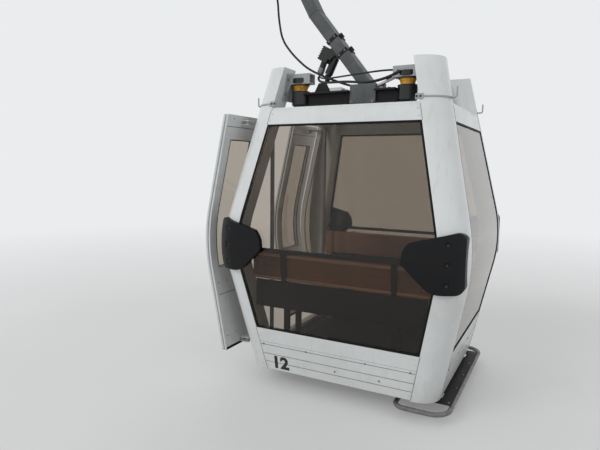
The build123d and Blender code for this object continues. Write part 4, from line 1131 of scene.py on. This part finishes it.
def buildLeafScrews(word, side, inner, outer, away):
    leaf = f"door_{word}_leaf"
    places = [surfaceAt(leaf, leafPoint(side, x, z, away), (0, -1, 0)) for x, z in inner]
    places += [surfaceAt(leaf, leafPoint(side, x, z, -away), (0, 1, 0)) for x, z in outer]
    fasten(f"leafScrews_{word}", places, "rivet", leaf, "darkBolt")


for word, side in (("front", 1), ("rear", -1)):
    buildSeals(word, side, **leafSize, **sealLook)
    buildFootStrip(word, side, **leafSize, **stripLook)
    buildLedges(word, side, **leafSize, **ledgeLook)
    buildLockRod(word, side, leafSize["thick"], **rodLook)
    buildLeafScrews(word, side, **leafScrews)

# Doorway: screws on the header, and ribs to step on along the sill
doorwayLook = dict(height=1.797, places=(-0.38, -0.13, 0.13, 0.38))
sillLook = dict(count=4, start=(0, -0.619, 0.0949), step=(0, -0.008, 0), size=(0.92, 0.003, 0.0012))


def buildDoorway(height, places):
    fasten("doorwayScrews", [onSide("door_header", -1, x, height) for x in places], "rivet", "cabin")


buildDoorway(**doorwayLook)
buildRow("sillRibs", "cabin", "innerMetal", **sillLook)
print("doors")

# Hanger: seams of the arm at its bends and foot, and bolts of its bands
armLook = dict(line=((0.034, 1.924), (-0.476, 2.570), (-0.676, 2.950), (-0.676, 3.480), (-0.250, 3.830),
                     (-0.250, 4.030)),
               bead=0.0035, bands=(0.430, 0.563), bandBolt=0.027, footSeam=0.085, away=1)


def buildArm(line, bead, bands, bandBolt, footSeam, away):
    sideways = Vector((1, 0, 0))
    points = [cabin(0, y, z) for y, z in line]
    rings = []
    for before, here, after in zip(points, points[1:], points[2:]):
        arrives, leaves = (here - before).normalized(), (after - here).normalized()
        across = (arrives + leaves).normalized().cross(sideways)
        rings.append(ringOn("hanger_arm", here + (leaves - arrives) * bead, sideways, across))
    lean = (points[1] - points[0]).normalized()
    across = lean.cross(sideways)
    rings.append(ringOn("hanger_arm", points[0] + lean * footSeam, sideways, across))
    weld("armSeams", rings, bead, "cabin", "galvanised")
    spots = [points[0] + lean * along + across * (way * bandBolt) for along in bands for way in ways]
    bolts = [surfaceAt("arm_bands", spot + sideways * (end * away), (-end, 0, 0))
             for spot in spots for end in ways]
    fasten("bandBolts", bolts, "button", "cabin")


# The control unit's collar, the glands of the cables, the pale sleeve of the link, and the leads. A sleeve
# is its foot, the way it points, its radius and its length. A lead is its radius and its points.
glandWay = (0, -1, 0)
unitWay = (0, 0.39, 0.92)
linkEnds = (Vector((0.44, 0.177, 1.9507)), Vector((0.44, 0.2875, 1.9919)))
sleeves = dict(
    unitCollar=("zincBolt", 40, [((0, -0.443, 2.138), unitWay, 0.0262, 0.046)]),
    cableGlands=("unitBlack", 24, [((0, -0.4475, 2.128), unitWay, 0.017, 0.011),
                                   ((0, -0.750, 3.060), glandWay, 0.0135, 0.022),
                                   ((0.268, -0.001, 1.915), glandWay, 0.0105, 0.022)]),
    linkSleeve=("palePlastic", 24, [(linkEnds[0], linkEnds[1] - linkEnds[0], 0.0092,
                                     (linkEnds[1] - linkEnds[0]).length)]))
leads = dict(
    gaugeLead=(0.009, ((0, -0.452, 2.118), (0.004, -0.462, 2.092), (0.06, -0.40, 2.058), (0.13, -0.28, 2.045),
                       (0.22, -0.12, 2.028), (0.32, 0.03, 1.996), (0.42, 0.16, 1.982), (0.476, 0.27, 1.995),
                       (0.486, 0.318, 2.014), (0.486, 0.336, 2.022))),
    sensorLead=(0.006, ((0.002, -0.448, 2.122), (0.030, -0.430, 2.090), (0.160, -0.240, 2.072),
                        (0.300, -0.030, 2.058), (0.420, 0.170, 2.046), (0.468, 0.285, 2.038),
                        (0.478, 0.325, 2.028))))


def sleeve(foot, way, radius, length, sunk=0.003, edge=0.002):
    return cabin(*foot), way, [(0, -sunk), (radius - edge, -sunk), (radius, edge - sunk),
                               (radius, length - edge), (radius - edge, length), (0, length)]


def buildControls():
    for name, (finish, steps, parts) in sleeves.items():
        turned(name, [sleeve(*part) for part in parts], "cabin", finish, steps)
    for name, (radius, points) in leads.items():
        hose(name, points, radius, "cabin", "cableBlack")


buildArm(**armLook)
buildControls()
print("hanger")

# Grip: hubs of the wheels, bolts of the pin, of the roller and of the body. Heights count from the rope.
wheelLook = dict(x=0.230, y=-0.192, z=0.042, half=0.022, hub=(0.028, 0.052), proud=0.0025, sunk=0.002,
                 edge=0.001, bolts=6, boltRing=0.040)
gripLook = dict(headHeight=-0.13, headFace=-0.325, headRing=0.056, headBolts=8, pinFace=-0.344,
                roller=(0, -0.262, 0.1718), away=1,
                bodyBolts=((0.085, -0.02), (-0.085, -0.02), (0.085, 0.05), (-0.085, 0.05), (-0.085, -0.12),
                           (0.085, -0.12)))


def boltCircle(centre, radius, count):
    # bolts round a centre, on a face that looks towards the door side
    angles = [2 * math.pi * (i + 0.5) / count for i in range(count)]
    return [(Vector(centre) + Vector((math.cos(a), 0, math.sin(a))) * radius, (0, -1, 0)) for a in angles]


def buildWheelHub(word, end, x, y, z, half, hub, proud, sunk, edge, bolts, boltRing):
    inner, outer = hub
    section = [(inner, -sunk), (outer, -sunk), (outer, proud - edge), (outer - edge, proud), (inner, proud),
               (inner, -sunk)]
    hubs = [((end * x, y + way * half, z), (0, way, 0), section) for way in ways]
    turned(f"wheelHub_{word}", hubs, f"wheel_{word}", "gripSteel")
    places = boltCircle((end * x, y - half - proud, z), boltRing, bolts)
    fasten(f"hubBolts_{word}", places, "rivet", f"wheel_{word}", "darkBolt")


def buildGrip(headHeight, headFace, headRing, headBolts, pinFace, roller, away, bodyBolts):
    fasten("headBolts", boltCircle((0, headFace, headHeight), headRing, headBolts), "button", "cabin")
    fasten("pinNut", [((0, pinFace, headHeight), (0, -1, 0))], "pin", "grip")
    fasten("rollerBolt", [(roller, (0, 0, 1))], "button", "grip")
    places = [surfaceAt("grip_body", (x, away, z), (0, -1, 0)) for x, z in bodyBolts]
    fasten("gripBolts", places, "hexLarge", "grip", "darkBolt")


buildWheelHub("front", 1, **wheelLook)
buildWheelHub("rear", -1, **wheelLook)
buildGrip(**gripLook)
print("grip")

# Guard: screws that hold the skirt to the hoop, and the ribbed patch on the skirt
guardLook = dict(places=(-0.49, -0.245, 0, 0.245, 0.49), across=0.722, start=0)
patchLook = dict(count=13, start=(0.02, 0.603, -0.0283), step=(0.021, 0, 0), size=(0.008, 0.036, 0.003))


def buildGuard(places, across, start):
    fasten("skirtScrews", [onTop("guard_skirt", x, across, start) for x in places], "button", "cabin")


buildGuard(**guardLook)
buildRow("skirtRibs", "cabin", "hoopSteel", **patchLook)
print("guard")
